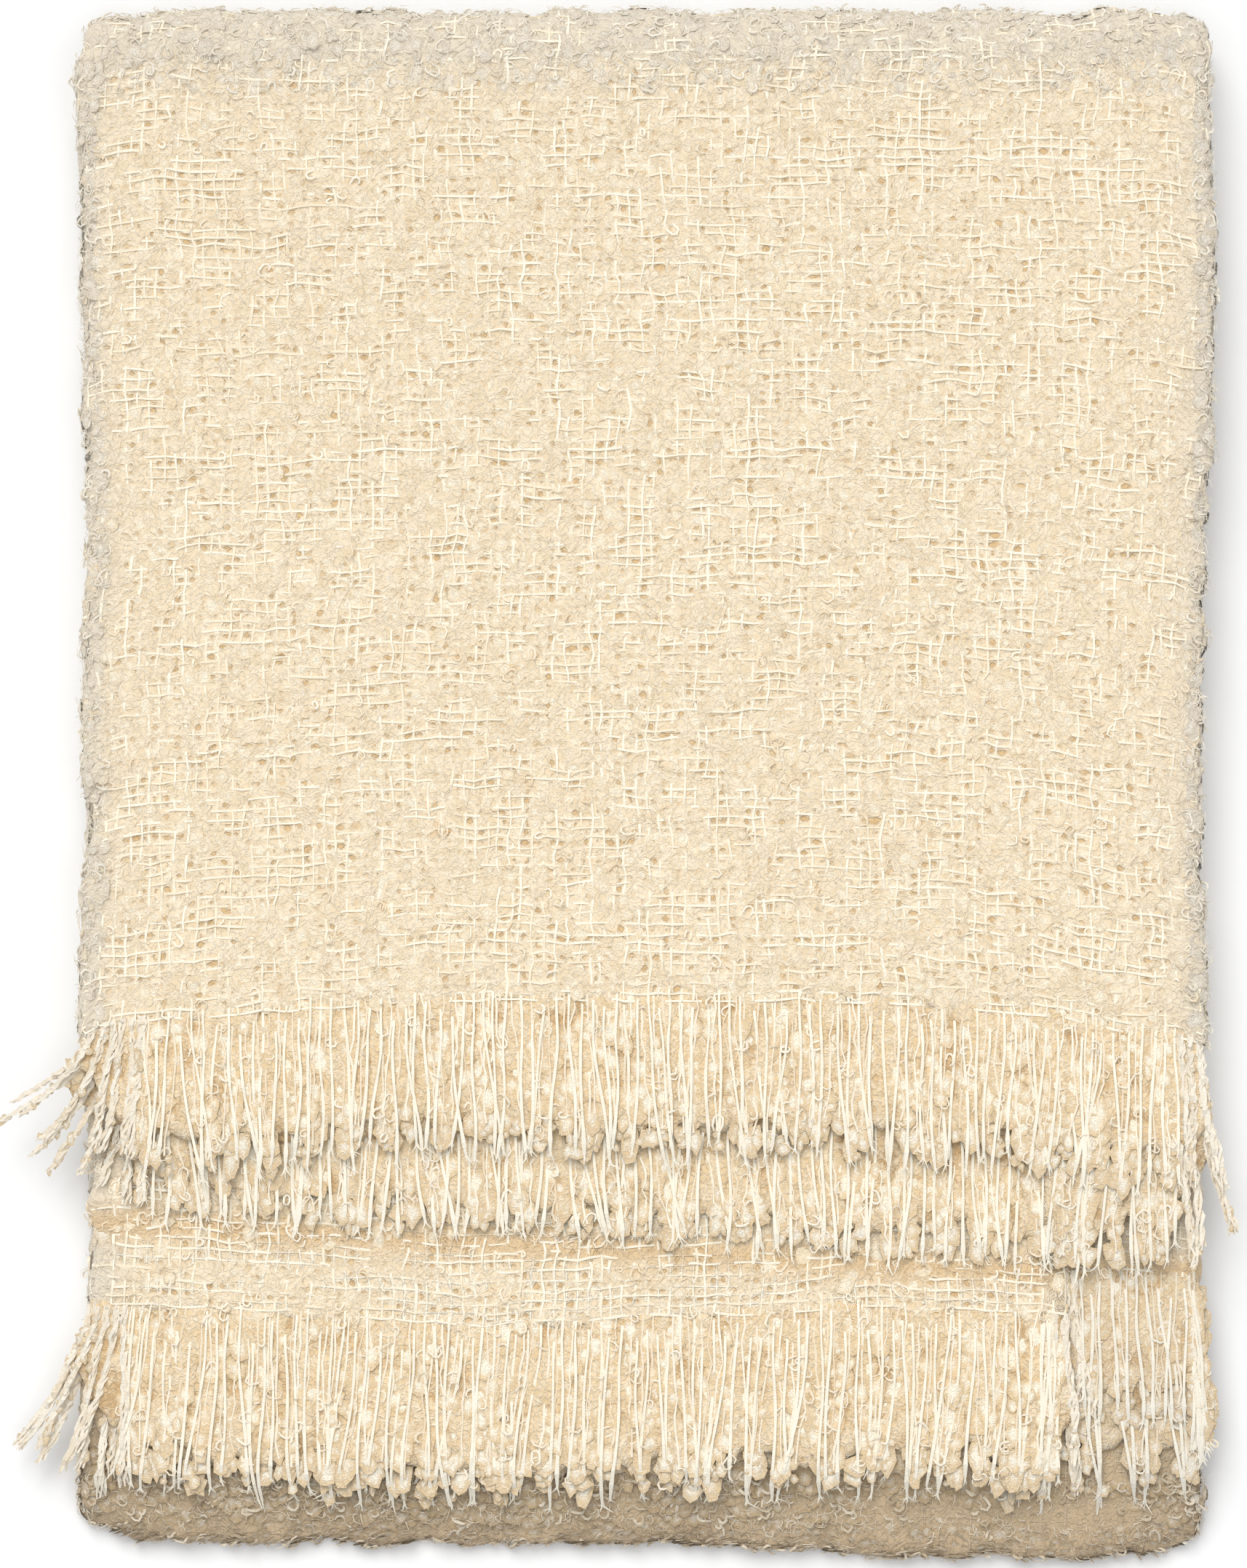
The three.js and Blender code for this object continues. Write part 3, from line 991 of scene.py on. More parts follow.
@dataclass(frozen=True)
class ClothFinish:
    """The cloth's face: boucle with tan gaps of painted shade, greyer and darker at the folds, partly as
    painted shade, painted shade over the near fold and a painted shadow under the first fringe's tips, and
    binder where none is modelled.

    The weave is the distances from thread to thread, in millimetres.
    """

    weave: tuple[float, float, float]
    face: BoucleFace = BoucleFace()
    # Painted shade: the tan in the weave's holes stands in for the shade deep between the threads.
    gap: Colour = linear(222, 190, 143)
    # Painted shade where the face lies low between loops.
    shade: Colour = linear(235, 216, 184)
    wool: Colour = linear(252, 240, 218)
    # Partly painted shade: the folds are greyer and darker, from the fuzz's own greyness and from shade where
    # they turn away.
    fold: Colour = linear(226, 217, 201)
    # Painted shade over the near fold and the lowest panel beside it.
    near_fold_shade: Colour = linear(188, 163, 128)
    # Painted shadow: a warm band under the first fringe's tips, on the lower panel.
    tucked: Colour = linear(224, 193, 148)
    binder: Colour = linear(255, 249, 232)
    aside: tuple[float, float, float] = (7.0, 3.0, 0.0)
    chance_scale: float = 0.9
    hole_step: Span = (0.83, 1.12)
    hole_step_bare: Span = (0.2, 0.7)
    thread_step: Span = (0.05, 0.13)
    thread_step_bare: Span = (0.3, 0.7)
    fold_grey_and_shade_share: float = 0.7
    shadow_share: float = 0.8
    relief: float = 0.0009
    sheen: float = 0.25

    def make(self) -> bpy.types.Material:
        """Makes the material.

        Returns:
            The material.
        """
        graph = Graph("boucle_cloth")
        threads = graph.node("ShaderNodeUVMap", {"uv_map": "weave"}, {})
        place = graph.vector("MULTIPLY", threads, self.weave)
        body, height, soft = self.face.draw(graph, place, self.shade, self.wool)
        warp, weft = (
            graph.node("ShaderNodeSeparateXYZ", {}, {"Vector": threads}, axis).to_thread() for axis in "XY"
        )
        bare = 1.0 - graph.attribute("tone")
        chance = graph.noise(graph.vector("ADD", threads, self.aside), self.chance_scale, 0.0, True)
        # Painted shade: the holes of the weave take the tan gap colour.
        uneven = warp + weft + 0.9 * (soft - 0.5) + 1.2 * (chance - 0.5)
        gaps = uneven.step(*self.hole_step) * (0.45 + 0.55 * bare.step(*self.hole_step_bare))
        line = 1.0 - warp.step(*self.thread_step) * weft.step(*self.thread_step)
        drawn = graph.attribute("drawn") * line * bare.step(*self.thread_step_bare)
        layers = (
            (gaps, self.gap),
            (drawn, self.binder),
            # Partly painted shade: the folds' greyer, darker colour.
            (self.fold_grey_and_shade_share * graph.attribute("edge"), self.fold),
            # Painted shade over the near fold.
            (self.shadow_share * graph.attribute("low"), self.near_fold_shade),
            # Painted shadow under the first fringe's tips.
            (self.shadow_share * graph.attribute("tucked"), self.tucked),
        )
        colour = body
        for share, layer in layers:
            colour = graph.mix(share, colour, layer)
        return graph.finish(colour, height - 0.6 * gaps + 0.4 * drawn, self.relief, self.sheen)


@dataclass(frozen=True)
class BedFinish:
    """The mass of boucle ends under a fringe: loops and clumps, tan between them as painted shade in the
    grooves.
    """

    face: BoucleFace = BoucleFace()
    # Painted shade: the tan in the grooves between clumps.
    gap: Colour = linear(215, 183, 138)
    # Painted shade where the face lies low between loops.
    shade: Colour = linear(232, 207, 166)
    wool: Colour = linear(251, 237, 212)
    gap_step: Span = (0.4, 0.9)
    relief: float = 0.001
    sheen: float = 0.3

    def make(self) -> bpy.types.Material:
        """Makes the material.

        Returns:
            The material.
        """
        graph = Graph("boucle_bed")
        place = graph.object_place((1 / MM, 1 / MM, 0.0))
        body, height, soft = self.face.draw(graph, place, self.shade, self.wool)
        # Painted shade where the bed's grooves lie low.
        gaps = ((1.0 - graph.attribute("tone")) + 1.2 * (soft - 0.5)).step(*self.gap_step)
        colour = graph.greyed_and_shaded(graph.mix(gaps, body, self.gap))
        return graph.finish(colour, height - 0.5 * gaps, self.relief, self.sheen)


@dataclass(frozen=True)
class PuffFinish:
    """A tuft of boucle: wavy rings of fine fibres, deeper in colour at the rim as painted shade of the mound,
    lighter at the crown as painted light.

    The two numbers of rings are how many the crown has and how many a soft noise adds.
    """

    name: str
    # Painted shade: the colour at the tuft's rim.
    rim: Colour = linear(241, 223, 192)
    wool: Colour = linear(251, 240, 218)
    stir_scale: float = 0.5
    fine_scale: float = 1.7
    rings: Span = (2.2, 3.6)
    ring_step: Span = (0.04, 0.34)
    crown_step: Span = (0.0, 0.75)
    wool_step: Span = (0.2, 1.1)
    relief: float = 0.0002
    sheen: float = 0.3

    def make(self) -> bpy.types.Material:
        """Makes the material.

        Returns:
            The material.
        """
        graph = Graph(self.name)
        place = graph.object_place((1 / MM, 1 / MM, 1 / MM))
        crown = graph.attribute("tone")
        stir, fine = (graph.noise(place, scale, 1.0) for scale in (self.stir_scale, self.fine_scale))
        of_crown, of_stir = self.rings
        rings = 1.0 - (of_crown * crown + of_stir * stir).to_thread().step(*self.ring_step)
        # Painted shade and light: towards the rim the tuft takes the darker colour, at its crown the lighter
        # one.
        share = (0.8 * crown.step(*self.crown_step) + 0.3 * rings + 0.4 * fine).step(*self.wool_step)
        colour = graph.greyed_and_shaded(graph.mix(share, self.rim, self.wool))
        return graph.finish(colour, rings, self.relief, self.sheen)


@dataclass(frozen=True)
class YarnFinish:
    """A wool yarn, a little lighter or darker from yarn to yarn."""

    name: str
    dark: Colour
    light: Colour
    relief: float = 0.0004
    coarse: float = 1500.0
    light_step: Span = (0.1, 0.95)
    sheen: float = 0.3

    def make(self) -> bpy.types.Material:
        """Makes the material.

        Returns:
            The material.
        """
        graph = Graph(self.name)
        hairs = graph.noise(graph.object_place(), self.coarse, 2.0)
        share = (graph.attribute("tone") * 0.7 + hairs * 0.5).step(*self.light_step)
        colour = graph.greyed_and_shaded(graph.mix(share, self.dark, self.light))
        return graph.finish(colour, hairs, self.relief, self.sheen)


@dataclass
class Cloth:
    """The woven sheet itself, hem to hem, with all its layers.

    The columns are counted for each stretch across, where the middle one has a column at each
    warp instead, and the rows for each stage along, closer together where the cloth ends and
    where the lower panel shows. Sizes are in millimetres.
    """

    shape: ThrowShape
    weave: Weave
    stretch_columns: tuple[int, ...] = (24, 8, 1, 6, 24)
    column_gap: float = 1.0
    stage_rows: tuple[int, ...] = (98, 16, 24, 14, 24, 8, 14)
    hem_rows: tuple[float, ...] = (0.006, 0.013)
    shown_rows: int = 18
    shown_stages: Span = (6.86, 6.985)
    hem_thick: float = 0.45
    hem_taper: float = 0.11
    hem_fray: float = 1.3
    fray_size: float = 5.0
    fray_fade: float = 2.5
    under_lump: float = 0.2
    under_lump_size: float = 7.0
    # Where the painted shadow under the first fringe's tips lies, and how wide it is.
    tip_reach: float = 58.0
    tip_shadow: float = 7.0
    short_end: float = 165.0
    # Where the near fold's painted shade lies: by stage, and weaker away from the near edge.
    fold_shade_stages: tuple[float, ...] = (1.9, 2.0, 2.9, 4.0, 4.07, 4.1)
    fold_shade_shares: tuple[float, ...] = (0.0, 0.3, 1.0, 1.0, 0.9, 0.0)
    fold_shade_places: Span = (-245.0, -205.0)
    fold_shade_fades: Span = (1.0, 0.15)

    def columns(self) -> np.ndarray:
        """Lays out the mesh's columns.

        Returns:
            Their distances across the cloth.
        """
        marks, pitch = self.shape.across_marks, self.weave.warp_pitch
        spans = zip(marks, marks[1:], self.stretch_columns)
        runs = [np.linspace(start, stop, count, endpoint=False) for start, stop, count in spans]
        warps = np.arange(math.ceil(marks.middle / pitch), math.floor(marks.tight_fold / pitch) + 1) * pitch
        clear = (warps > marks.middle + self.column_gap) & (warps < marks.tight_fold - self.column_gap)
        runs[2] = np.concatenate([[marks.middle], warps[clear]])
        return np.concatenate(runs + [[marks.selvedge]])

    def rows(self) -> np.ndarray:
        """Lays out the mesh's rows.

        Returns:
            Their stages along the folds.
        """
        runs = [np.linspace(s, s + 1, n, endpoint=False) for s, n in enumerate(self.stage_rows)]
        hem = np.array(self.hem_rows)
        shown = np.linspace(*self.shown_stages, self.shown_rows)
        return np.sort(np.concatenate(runs + [hem, STAGES - hem, [STAGES], shown]))

    def build(self) -> bpy.types.Object:
        """Builds the sheet as one closed mesh with its weave laid out in a UV map.

        Returns:
            The sheet.
        """
        shape, weave, lumps = self.shape, self.weave, self.weave.lumps
        across, along = np.meshgrid(self.columns(), self.rows())
        distance, length = shape.distances(along), shape.along_marks[-1]
        to_hem = np.minimum(distance, length - distance)
        taper = np.clip(self.hem_thick + self.hem_taper * to_hem, 0, 1)
        half = shape.thick / 2 * taper
        fray = self.hem_fray * lumps.at(across, along * 50, self.fray_size) * np.exp(-to_hem / self.fray_fade)
        frayed = along + np.where(along < STAGES / 2, -1, 1) * fray / (length / STAGES)
        under = self.under_lump * lumps.at(across, distance, self.under_lump_size)
        lifts = (half + weave.swell(across, distance) * taper, -half + under * taper)
        faces = [shape.surface(across, frayed, lift) for lift in lifts]
        for face in faces:
            face[..., 2] = np.maximum(face[..., 2], 0.0)
        parts = MeshParts()
        parts.add_sheet(*faces, weave.fluff(across, distance))
        cloth = parts.make("throw_cloth_sheet")
        self.lay_out(cloth, across, distance)
        return cloth

    def lay_out(self, cloth: bpy.types.Object, across: np.ndarray, distance: np.ndarray) -> None:
        """Writes the weave's own coordinates, in threads, and the shares that the finish reads, among them
        painted shade over the near fold and a painted shadow under the first fringe's tips.

        Args:
            cloth: the sheet.
            across: the outer face's distances across.
            distance: its distances along.
        """
        mesh, shape, weave = cloth.data, self.shape, self.weave
        pulled, sunk = weave.drift(across, distance)
        threads = np.stack([(across - pulled) / weave.warp_pitch, (distance - sunk) / weave.weft_pitch], -1)
        both = np.tile(threads.reshape(-1, 2), (2, 1))
        corners = np.zeros(len(mesh.loops), dtype=np.int32)
        mesh.loops.foreach_get("vertex_index", corners)
        layer = mesh.uv_layers.new(name="weave")
        layer.data.foreach_set("uv", both[corners].astype(np.float32).ravel())
        places = np.zeros(len(mesh.vertices) * 3, dtype=np.float32)
        mesh.vertices.foreach_get("co", places)
        x, y = places.reshape(-1, 3).T[:2] / MM
        marks = shape.across_marks
        stage, place = (np.tile(values.ravel(), 2) for values in (shape.stages(distance), across))
        modelled = (stage < Fold.OUTER + 1) & (place > marks.wide_fold) & (place < marks.tucked)
        modelled[across.size :] = False
        # Painted shade over the near fold, darkest on the lowest panel and weaker away from the near edge.
        low = np.interp(stage, self.fold_shade_stages, self.fold_shade_shares)
        low = low * np.interp(y, self.fold_shade_places, self.fold_shade_fades)
        # Painted shadow in a band under the first fringe's tips, on the lower panel.
        tips = SHORT_HEMS.at(np.minimum(x, self.short_end), "first") - self.tip_reach
        painted_tip_shadow = np.exp(-(((y - tips) / self.tip_shadow) ** 2)) * (stage > STAGES - 0.5)
        keep_values(mesh, "edge", np.tile(weave.edge(across, distance).ravel(), 2))
        keep_values(mesh, "low", low)
        keep_values(mesh, "tucked", painted_tip_shadow)
        keep_values(mesh, "drawn", np.where(modelled, 0.0, 1.0))


@dataclass(frozen=True)
class Stretch:
    """A stretch of cloth whose binder threads are modelled, in threads and stages."""

    across: Span
    along: Span
    side: Side = Side.OUTER


@dataclass
class Binder:
    """The thin pale threads of the weave, over and under each other, half sunk in the boucle.

    Where the boucle is fluffy the threads sink: from the first of the two shares on, and wholly
    once the second is added to it.
    """

    shape: ThrowShape
    weave: Weave
    radius: float = 0.46
    uneven: float = 0.35
    proud: float = 0.12
    sink: float = 1.3
    sink_shares: Span = (0.45, 0.4)
    waver: float = 0.7
    waver_size: float = 4.1
    upper_stages: Span = (0.0, 1.75)
    tucked_reach: float = 62.0
    rise: Unevenness = field(default_factory=lambda: Unevenness(33))

    def crossings(self, stretch: Stretch) -> tuple[np.ndarray, ...]:
        """The crossings of a stretch.

        Args:
            stretch: the stretch.

        Returns:
            Distances across and along, and 1 where the warp is on top, -1 where the weft is.
        """
        weave = self.weave
        start, stop = self.shape.distances(np.array(stretch.along))
        spans = ((*stretch.across, weave.warp_pitch), (start, stop, weave.weft_pitch))
        threads = [np.arange(math.ceil(low / gap), math.floor(high / gap) + 1) for low, high, gap in spans]
        warp, weft = np.meshgrid(*threads, indexing="ij")
        across, distance = warp * weave.warp_pitch, weft * weave.weft_pitch
        pulled, sunk = weave.drift(across, distance)
        over = np.where((warp + weft) % 2 == 0, 1.0, -1.0)
        return across + pulled, np.clip(distance + sunk, start, stop), over

    def add(self, parts: MeshParts, stretch: Stretch, generator: np.random.Generator) -> None:
        """Adds a stretch's threads, both ways.

        Args:
            parts: where they go.
            stretch: the stretch.
            generator: for their shades and thickness.
        """
        shape, weave = self.shape, self.weave
        across, distance, over = self.crossings(stretch)
        side, stage = stretch.side.value, shape.stages(distance)
        sink_from, sink_over = self.sink_shares
        buried = np.clip((weave.fluff(across, distance) - sink_from) / sink_over, 0, 1)
        for way, sign in ((0, 1.0), (1, -1.0)):
            stray = self.waver * self.rise.at(across + 200 * way, distance, self.waver_size)
            lift = shape.thick / 2 + self.proud - self.sink * buried + sign * weave.dip * over + stray
            lift = lift + weave.edge_swell(across, distance)
            places = shape.surface(across, stage, lift * side)
            toward = shape.surface(across, stage, (lift + 0.5) * side) - places
            if way == 1:
                places, toward = np.swapaxes(places, 0, 1), np.swapaxes(toward, 0, 1)
            radii = self.radius * (1 + self.uneven * generator.uniform(-1, 1, places.shape[:2]))
            parts.add_yarns(places, radii, toward, generator.uniform(0, 1, len(places)))

    def build(self) -> list[bpy.types.Object]:
        """Builds the threads.

        Returns:
            Those of the upper panel, and those of the lower ones.
        """
        marks = self.shape.across_marks
        generator = np.random.default_rng(31)
        upper, lower = MeshParts(), MeshParts()
        self.add(upper, Stretch((marks.wide_fold + 2, marks.tucked - 1), self.upper_stages), generator)
        self.add(lower, Stretch((0.0, marks.middle - 4), LOWER_PANEL), generator)
        tucked = (marks.tucked - 2, marks.tucked + self.tucked_reach)
        self.add(lower, Stretch(tucked, TUCKED_STRIP), generator)
        return [upper.make("binder_upper_panel", False), lower.make("binder_lower_panels", False)]


@dataclass(frozen=True)
class Curl:
    """A loop that the boucle yarn throws: an open ring of soft yarn, in millimetres and radians."""

    points: int = 9
    radius: Span = (0.9, 2.4)
    yarn: Span = (0.3, 0.55)
    tilt: float = 0.35
    turn: Span = (2.8, 6.2)
    wobble: float = 0.3
    heave: float = 0.25
    lowest: float = 0.85
    end_shares: tuple[float, ...] = (0, 0.15, 0.85, 1)
    end_sizes: tuple[float, ...] = (0.5, 1, 1, 0.4)

    def add(
        self,
        parts: MeshParts,
        centres: np.ndarray,
        ways: Ways,
        generator: np.random.Generator,
        tones: np.ndarray,
    ) -> None:
        """Adds curls.

        Args:
            parts: where they go.
            centres: their middles.
            ways: the ways across, along and out of the cloth at each.
            generator: for their shapes.
            tones: a shade for each.
        """
        count, share = len(centres), np.linspace(0, 1, self.points)
        start = generator.uniform(0, 2 * math.pi, (count, 1))
        angle = start + share[None, :] * generator.uniform(*self.turn, (count, 1))
        radius = generator.uniform(*self.radius, (count, 1)) * (1 + self.wobble * np.sin(angle * 2 + start))
        tilt = generator.normal(0, self.tilt, (count, 2))
        first, second = radius * np.cos(angle), radius * np.sin(angle)
        height = first * tilt[:, :1] + second * tilt[:, 1:] + self.heave * np.sin(angle * 1.5)
        paths = points_around(centres, ways, (first, second, height))
        paths[:, :, 2] = np.maximum(paths[:, :, 2], self.lowest)
        ends = np.interp(share, self.end_shares, self.end_sizes)
        radii = generator.uniform(*self.yarn, (count, 1)) * ends[None, :]
        parts.add_yarns(paths, radii, ways[2][:, None, :] + ASKEW, tones)


@dataclass(frozen=True)
class Puff:
    """A ragged tuft that the boucle yarn makes: a low mound whose rim is painted darker and whose top
    lighter, as its shade and light.

    The radius is in millimetres. The rise is a share of it, and so is the length beside its width.
    """

    radius: Span = (1.7, 3.4)
    rise: Span = (0.12, 0.22)
    length: Span = (0.8, 1.3)
    sides: int = 8
    ragged: float = 0.32
    foot: float = -0.35
    lit: float = 0.9
    tops: Span = (0.3, 1.0)
    floor_gap: float = 1.4
    lowest: float = 0.2

    def add(
        self,
        parts: MeshParts,
        centres: np.ndarray,
        ways: Ways,
        generator: np.random.Generator,
        grey_and_shade: np.ndarray | float = 0.0,
    ) -> None:
        """Adds tufts.

        Args:
            parts: where they go.
            centres: their middles.
            ways: the ways across, along and out of the cloth at each.
            generator: for their shapes.
            grey_and_shade: how far each is drained cooler and darker, for its own greyness and as painted
                shade.
        """
        count, sides, size = len(centres), self.sides, self.sides + 2
        centres = np.maximum(centres, np.array([-np.inf, -np.inf, self.floor_gap]))
        radius = generator.uniform(*self.radius, (count, 1))
        rise = radius * generator.uniform(*self.rise, count)[:, None]
        angle = generator.uniform(0, 2 * math.pi, (count, 1)) + np.arange(sides) * 2 * math.pi / sides
        uneven = radius * generator.uniform(1 - self.ragged, 1 + self.ragged, (count, sides))
        first = uneven * np.cos(angle)
        second = uneven * np.sin(angle) * generator.uniform(*self.length, (count, 1))
        across, along, out = (way[:, None, :] for way in ways)
        top = centres[:, None, :] + out * rise[:, :, None]
        rim = centres[:, None, :] + first[:, :, None] * across + second[:, :, None] * along
        foot = centres[:, None, :] + out * (self.foot * rise)[:, :, None]
        places = np.concatenate([top, rim, foot], axis=1)
        places[..., 2] = np.maximum(places[..., 2], self.lowest)
        start = np.arange(count)[:, None, None] * size
        ring = start + 1 + np.arange(sides)[None, None, :]
        after = np.roll(ring, -1, axis=2)
        apex = np.broadcast_to(start, ring.shape)
        upper = np.stack([apex, ring, after], -1).reshape(-1, 3)
        lower = np.stack([apex + size - 1, after, ring], -1).reshape(-1, 3)
        # Tone 0 at rim and foot, a random tone at the top: the finish reads it as painted shade and light.
        shades = np.zeros((count, size))
        shades[:, 0] = generator.uniform(*self.tops, count)
        greys_and_shades = np.repeat(np.broadcast_to(grey_and_shade, (count,)), size)
        parts.add(places, NO_QUADS, np.concatenate([upper, lower]), shades.ravel(), greys_and_shades)
        parts.looks.append(np.repeat(unit(ways[2] + self.lit * UP), size, axis=0))


@dataclass(frozen=True)
class FringeRow:
    """One row of fringe: where it grows from, how long it is and how it lies.

    Lengths are in millimetres: the stretch across the cloth, the strands, the height of their tips
    and the distance between the bed's columns. Start is the share of a strand from which it has
    loops and tufts. Strands left of from_x lie under other cloth, and are left out. The last field drains the
    row cooler and darker, a painted shade where the row lies deeper.
    """

    across: Span
    length: float
    tip: float
    curls: int
    puffs: int
    bed_column: float = 4.0
    start: float = -0.06
    from_x: float = -300.0
    grey_and_shade: float = 0.0


@dataclass
class Fringe:
    """The fringe of one end of the cloth: binder ends over a bed of soft looped boucle ends.

    Sizes are in millimetres. Sways are how far strands sway together, over what width, and which
    part of the noise says so.
    """

    shape: ThrowShape
    weave: Weave
    end: End
    lean: Table
    rows: tuple[FringeRow, ...]
    seed: int
    lean_blur: float = 1.0
    length_spread: float = 0.09
    lean_loss: float = 130.0
    least_reach: float = 10.0
    bunches: tuple[int, int] = (1, 5)
    gathers: Span = (0.2, 0.95)
    stray: float = 2.1
    most_gather: float = 6.0
    sways: tuple[tuple[float, float, float], ...] = ((3.6, 13.0, 0.0), (2.6, 6.0, 60.0))
    wave: float = 0.8
    ripple: float = 0.35
    droop: float = 0.35
    tip_lift: float = 0.6
    thread: float = 0.64
    thread_points: int = 13
    thread_lifts: Span = (2.4, 1.6)
    high_share: float = 0.75
    tip_hairs: int = 5
    tip_hair: Span = (0.22, 0.42)
    tip_lengths: Span = (1.6, 4.2)
    boucle_points: int = 40
    soft_yarn: float = 0.42
    soft_lift: float = 0.8
    bed_thick: float = 1.1
    bed_rows: int = 22
    bed_share: float = 0.83
    bed_under: float = -0.9
    rope_points: int = 26
    rope_lean: float = 6.0
    rope_gap: float = 3.6
    rope_plies: int = 5
    rope_twist: float = 0.85
    rope_turn: float = 14.0
    rope_yarn: Span = (0.45, 0.95)
    rope_lift: float = 1.4
    rope_beads: int = 5
    rope_grey: float = 0.6
    lowest: float = 0.8
    clumps: Unevenness = field(default_factory=lambda: Unevenness(43))
    curl: Curl = Curl(radius=(1.3, 2.6), yarn=(0.28, 0.55), tilt=0.3)
    puff: Puff = Puff(radius=(1.8, 3.9), rise=(0.12, 0.24), length=(1.0, 1.9))
    wad: Puff = Puff(radius=(1.2, 2.4), rise=(0.25, 0.4), length=(1.0, 1.9))
    bead: Puff = Puff(radius=(0.9, 1.8), rise=(0.3, 0.6), length=(1.0, 2.0))

    def leans(self, across: np.ndarray) -> np.ndarray:
        """How far to the right of these roots the strands' tips lie, in millimetres."""
        x, _, nx, _ = self.shape.section(across)
        return self.lean.at(x + nx, "lean", self.lean_blur)

    def upright(self, row: FringeRow, across: np.ndarray) -> np.ndarray:
        """The roots whose strands don't fan out and aren't hidden."""
        across = across[np.abs(self.leans(across)) < self.rope_lean]
        return across[self.shape.section(across)[0] > row.from_x]

    def roots(self, row: FringeRow) -> np.ndarray:
        """Finds the warps that the row's strands carry on, closer together in the folds.

        Args:
            row: the row.

        Returns:
            Their distances across the cloth.
        """
        pitch, marks = self.weave.warp_pitch, self.shape.across_marks
        first, last = math.ceil(row.across[0] / pitch), math.floor(row.across[1] / pitch)
        regular = np.arange(first, last + 1) * pitch
        turns = ((marks.wide_fold, marks.middle), (marks.tight_fold, marks.tucked))
        folds = [np.arange(*turn, pitch / 3) for turn in turns if row.across[1] > turn[1]]
        if row.across[0] > 0:
            regular = np.sort(np.concatenate([regular, *folds]))
        elif self.end is End.SECOND:
            regular = np.concatenate([np.arange(0.3, 9.0, 1.1), regular])
        start = 0.0 if self.end is End.FIRST else self.shape.along_marks[-1]
        return np.clip(regular + self.weave.drift(regular, start)[0], *row.across)

    def routes(
        self,
        row: FringeRow,
        across: np.ndarray,
        share: np.ndarray,
        lift: np.ndarray,
        generator: np.random.Generator,
        loose: float = 1.0,
    ) -> np.ndarray:
        """Routes of a row's strands.

        Args:
            row: the row.
            across: where the strands are rooted.
            share: how far along the strand the points are, from below 0 in the cloth to 1.
            lift: how far above the cloth's middle each lies.
            generator: for their lengths and sway.
            loose: how much each goes its own way.

        Returns:
            Places, strands by points.
        """
        shape, count = self.shape, len(across)
        strip, upwards = (0, 1.0) if self.end is End.FIRST else (-1, -1.0)
        x, rise, _, _ = shape.section(across)
        root = (shape.layer(shape.strips[strip]) + upwards * rise)[:, None]
        lean = self.leans(across)
        spread = 1 + self.length_spread * loose * generator.uniform(-1, 1, count)
        length = row.length * spread * (1 - np.abs(lean) / self.lean_loss)
        bunch = np.repeat(np.arange(count), generator.integers(*self.bunches, count))[:count]
        centre = np.array([x[bunch == number].mean() for number in bunch])
        gather = (centre - x) * generator.uniform(*self.gathers, count)
        gather = gather + generator.normal(0, self.stray, count)
        sway = sum(most * self.clumps.at(x, row.length + part, size) for most, size, part in self.sways)
        gather = np.clip(gather, -self.most_gather, self.most_gather) + sway
        phase = generator.uniform(0, 2 * math.pi, (count, 1))
        share = np.atleast_2d(share)
        out = np.clip(share, 0, None)
        wave = self.wave * np.sin(phase + out * generator.uniform(3, 7, (count, 1))) * np.minimum(1, out * 4)
        path_x = x[:, None] + lean[:, None] * out**1.4 + loose * (gather[:, None] * out**1.5 + wave)
        reach = np.sqrt(np.maximum(length**2 - lean**2, self.least_reach**2))
        y = shape.hem(across, self.end)[:, None] - reach[:, None] * share
        beyond = np.maximum(0, np.maximum(shape.left - path_x, path_x - shape.right))
        ripple = self.ripple * loose * np.sin(phase * 2 + out * 7) * np.minimum(1, out * 3)
        z = root + (row.tip + self.tip_lift - root) * out + ripple - self.droop * beyond
        return shape.lay(path_x, y, z + lift)

    def add_threads(self, parts: MeshParts, row: FringeRow, generator: np.random.Generator) -> None:
        """Adds a row's binder ends, most of them on top of the boucle, frayed at the tip.

        Args:
            parts: where they go.
            row: the row.
            generator: for their shapes.
        """
        across = self.upright(row, self.roots(row))
        count = len(across)
        share = np.concatenate([[-0.1, -0.05], np.linspace(0.0, 1.0, self.thread_points)])
        high = np.where(generator.uniform(0, 1, count) < self.high_share, *self.thread_lifts)[:, None]
        risen = np.clip((share[None, :] - generator.uniform(-0.12, 0.1, (count, 1))) / 0.1, 0, 1)
        dips = 0.8 * self.clumps.at(np.arange(count)[:, None] * 3.7, share[None, :] * row.length, 7.0)
        lift = (high + dips * np.clip(share * 5, 0, 1)) * risen + 0.2 * (1 - risen)
        lift = lift * np.interp(share, (0.9, 1), (1, 0.7))[None, :]
        paths = self.routes(row, across, share, lift, generator)
        swell = np.interp(share, (0, 0.84, 0.93, 1.0), (0.8, 1.05, 1.5, 0.8))
        radii = self.thread * swell * (1 + 0.22 * generator.uniform(-1, 1, paths.shape[:2]))
        grey_and_shade = row.grey_and_shade + 0.4 * np.clip(share - 0.7, 0, 1) / 0.3
        parts.add_yarns(paths, radii, UP, generator.uniform(0.5, 1, count), grey_and_shade)
        parts.grey_and_shade = row.grey_and_shade + 0.3
        self.add_tip_hairs(parts, paths[:, -2:], generator)

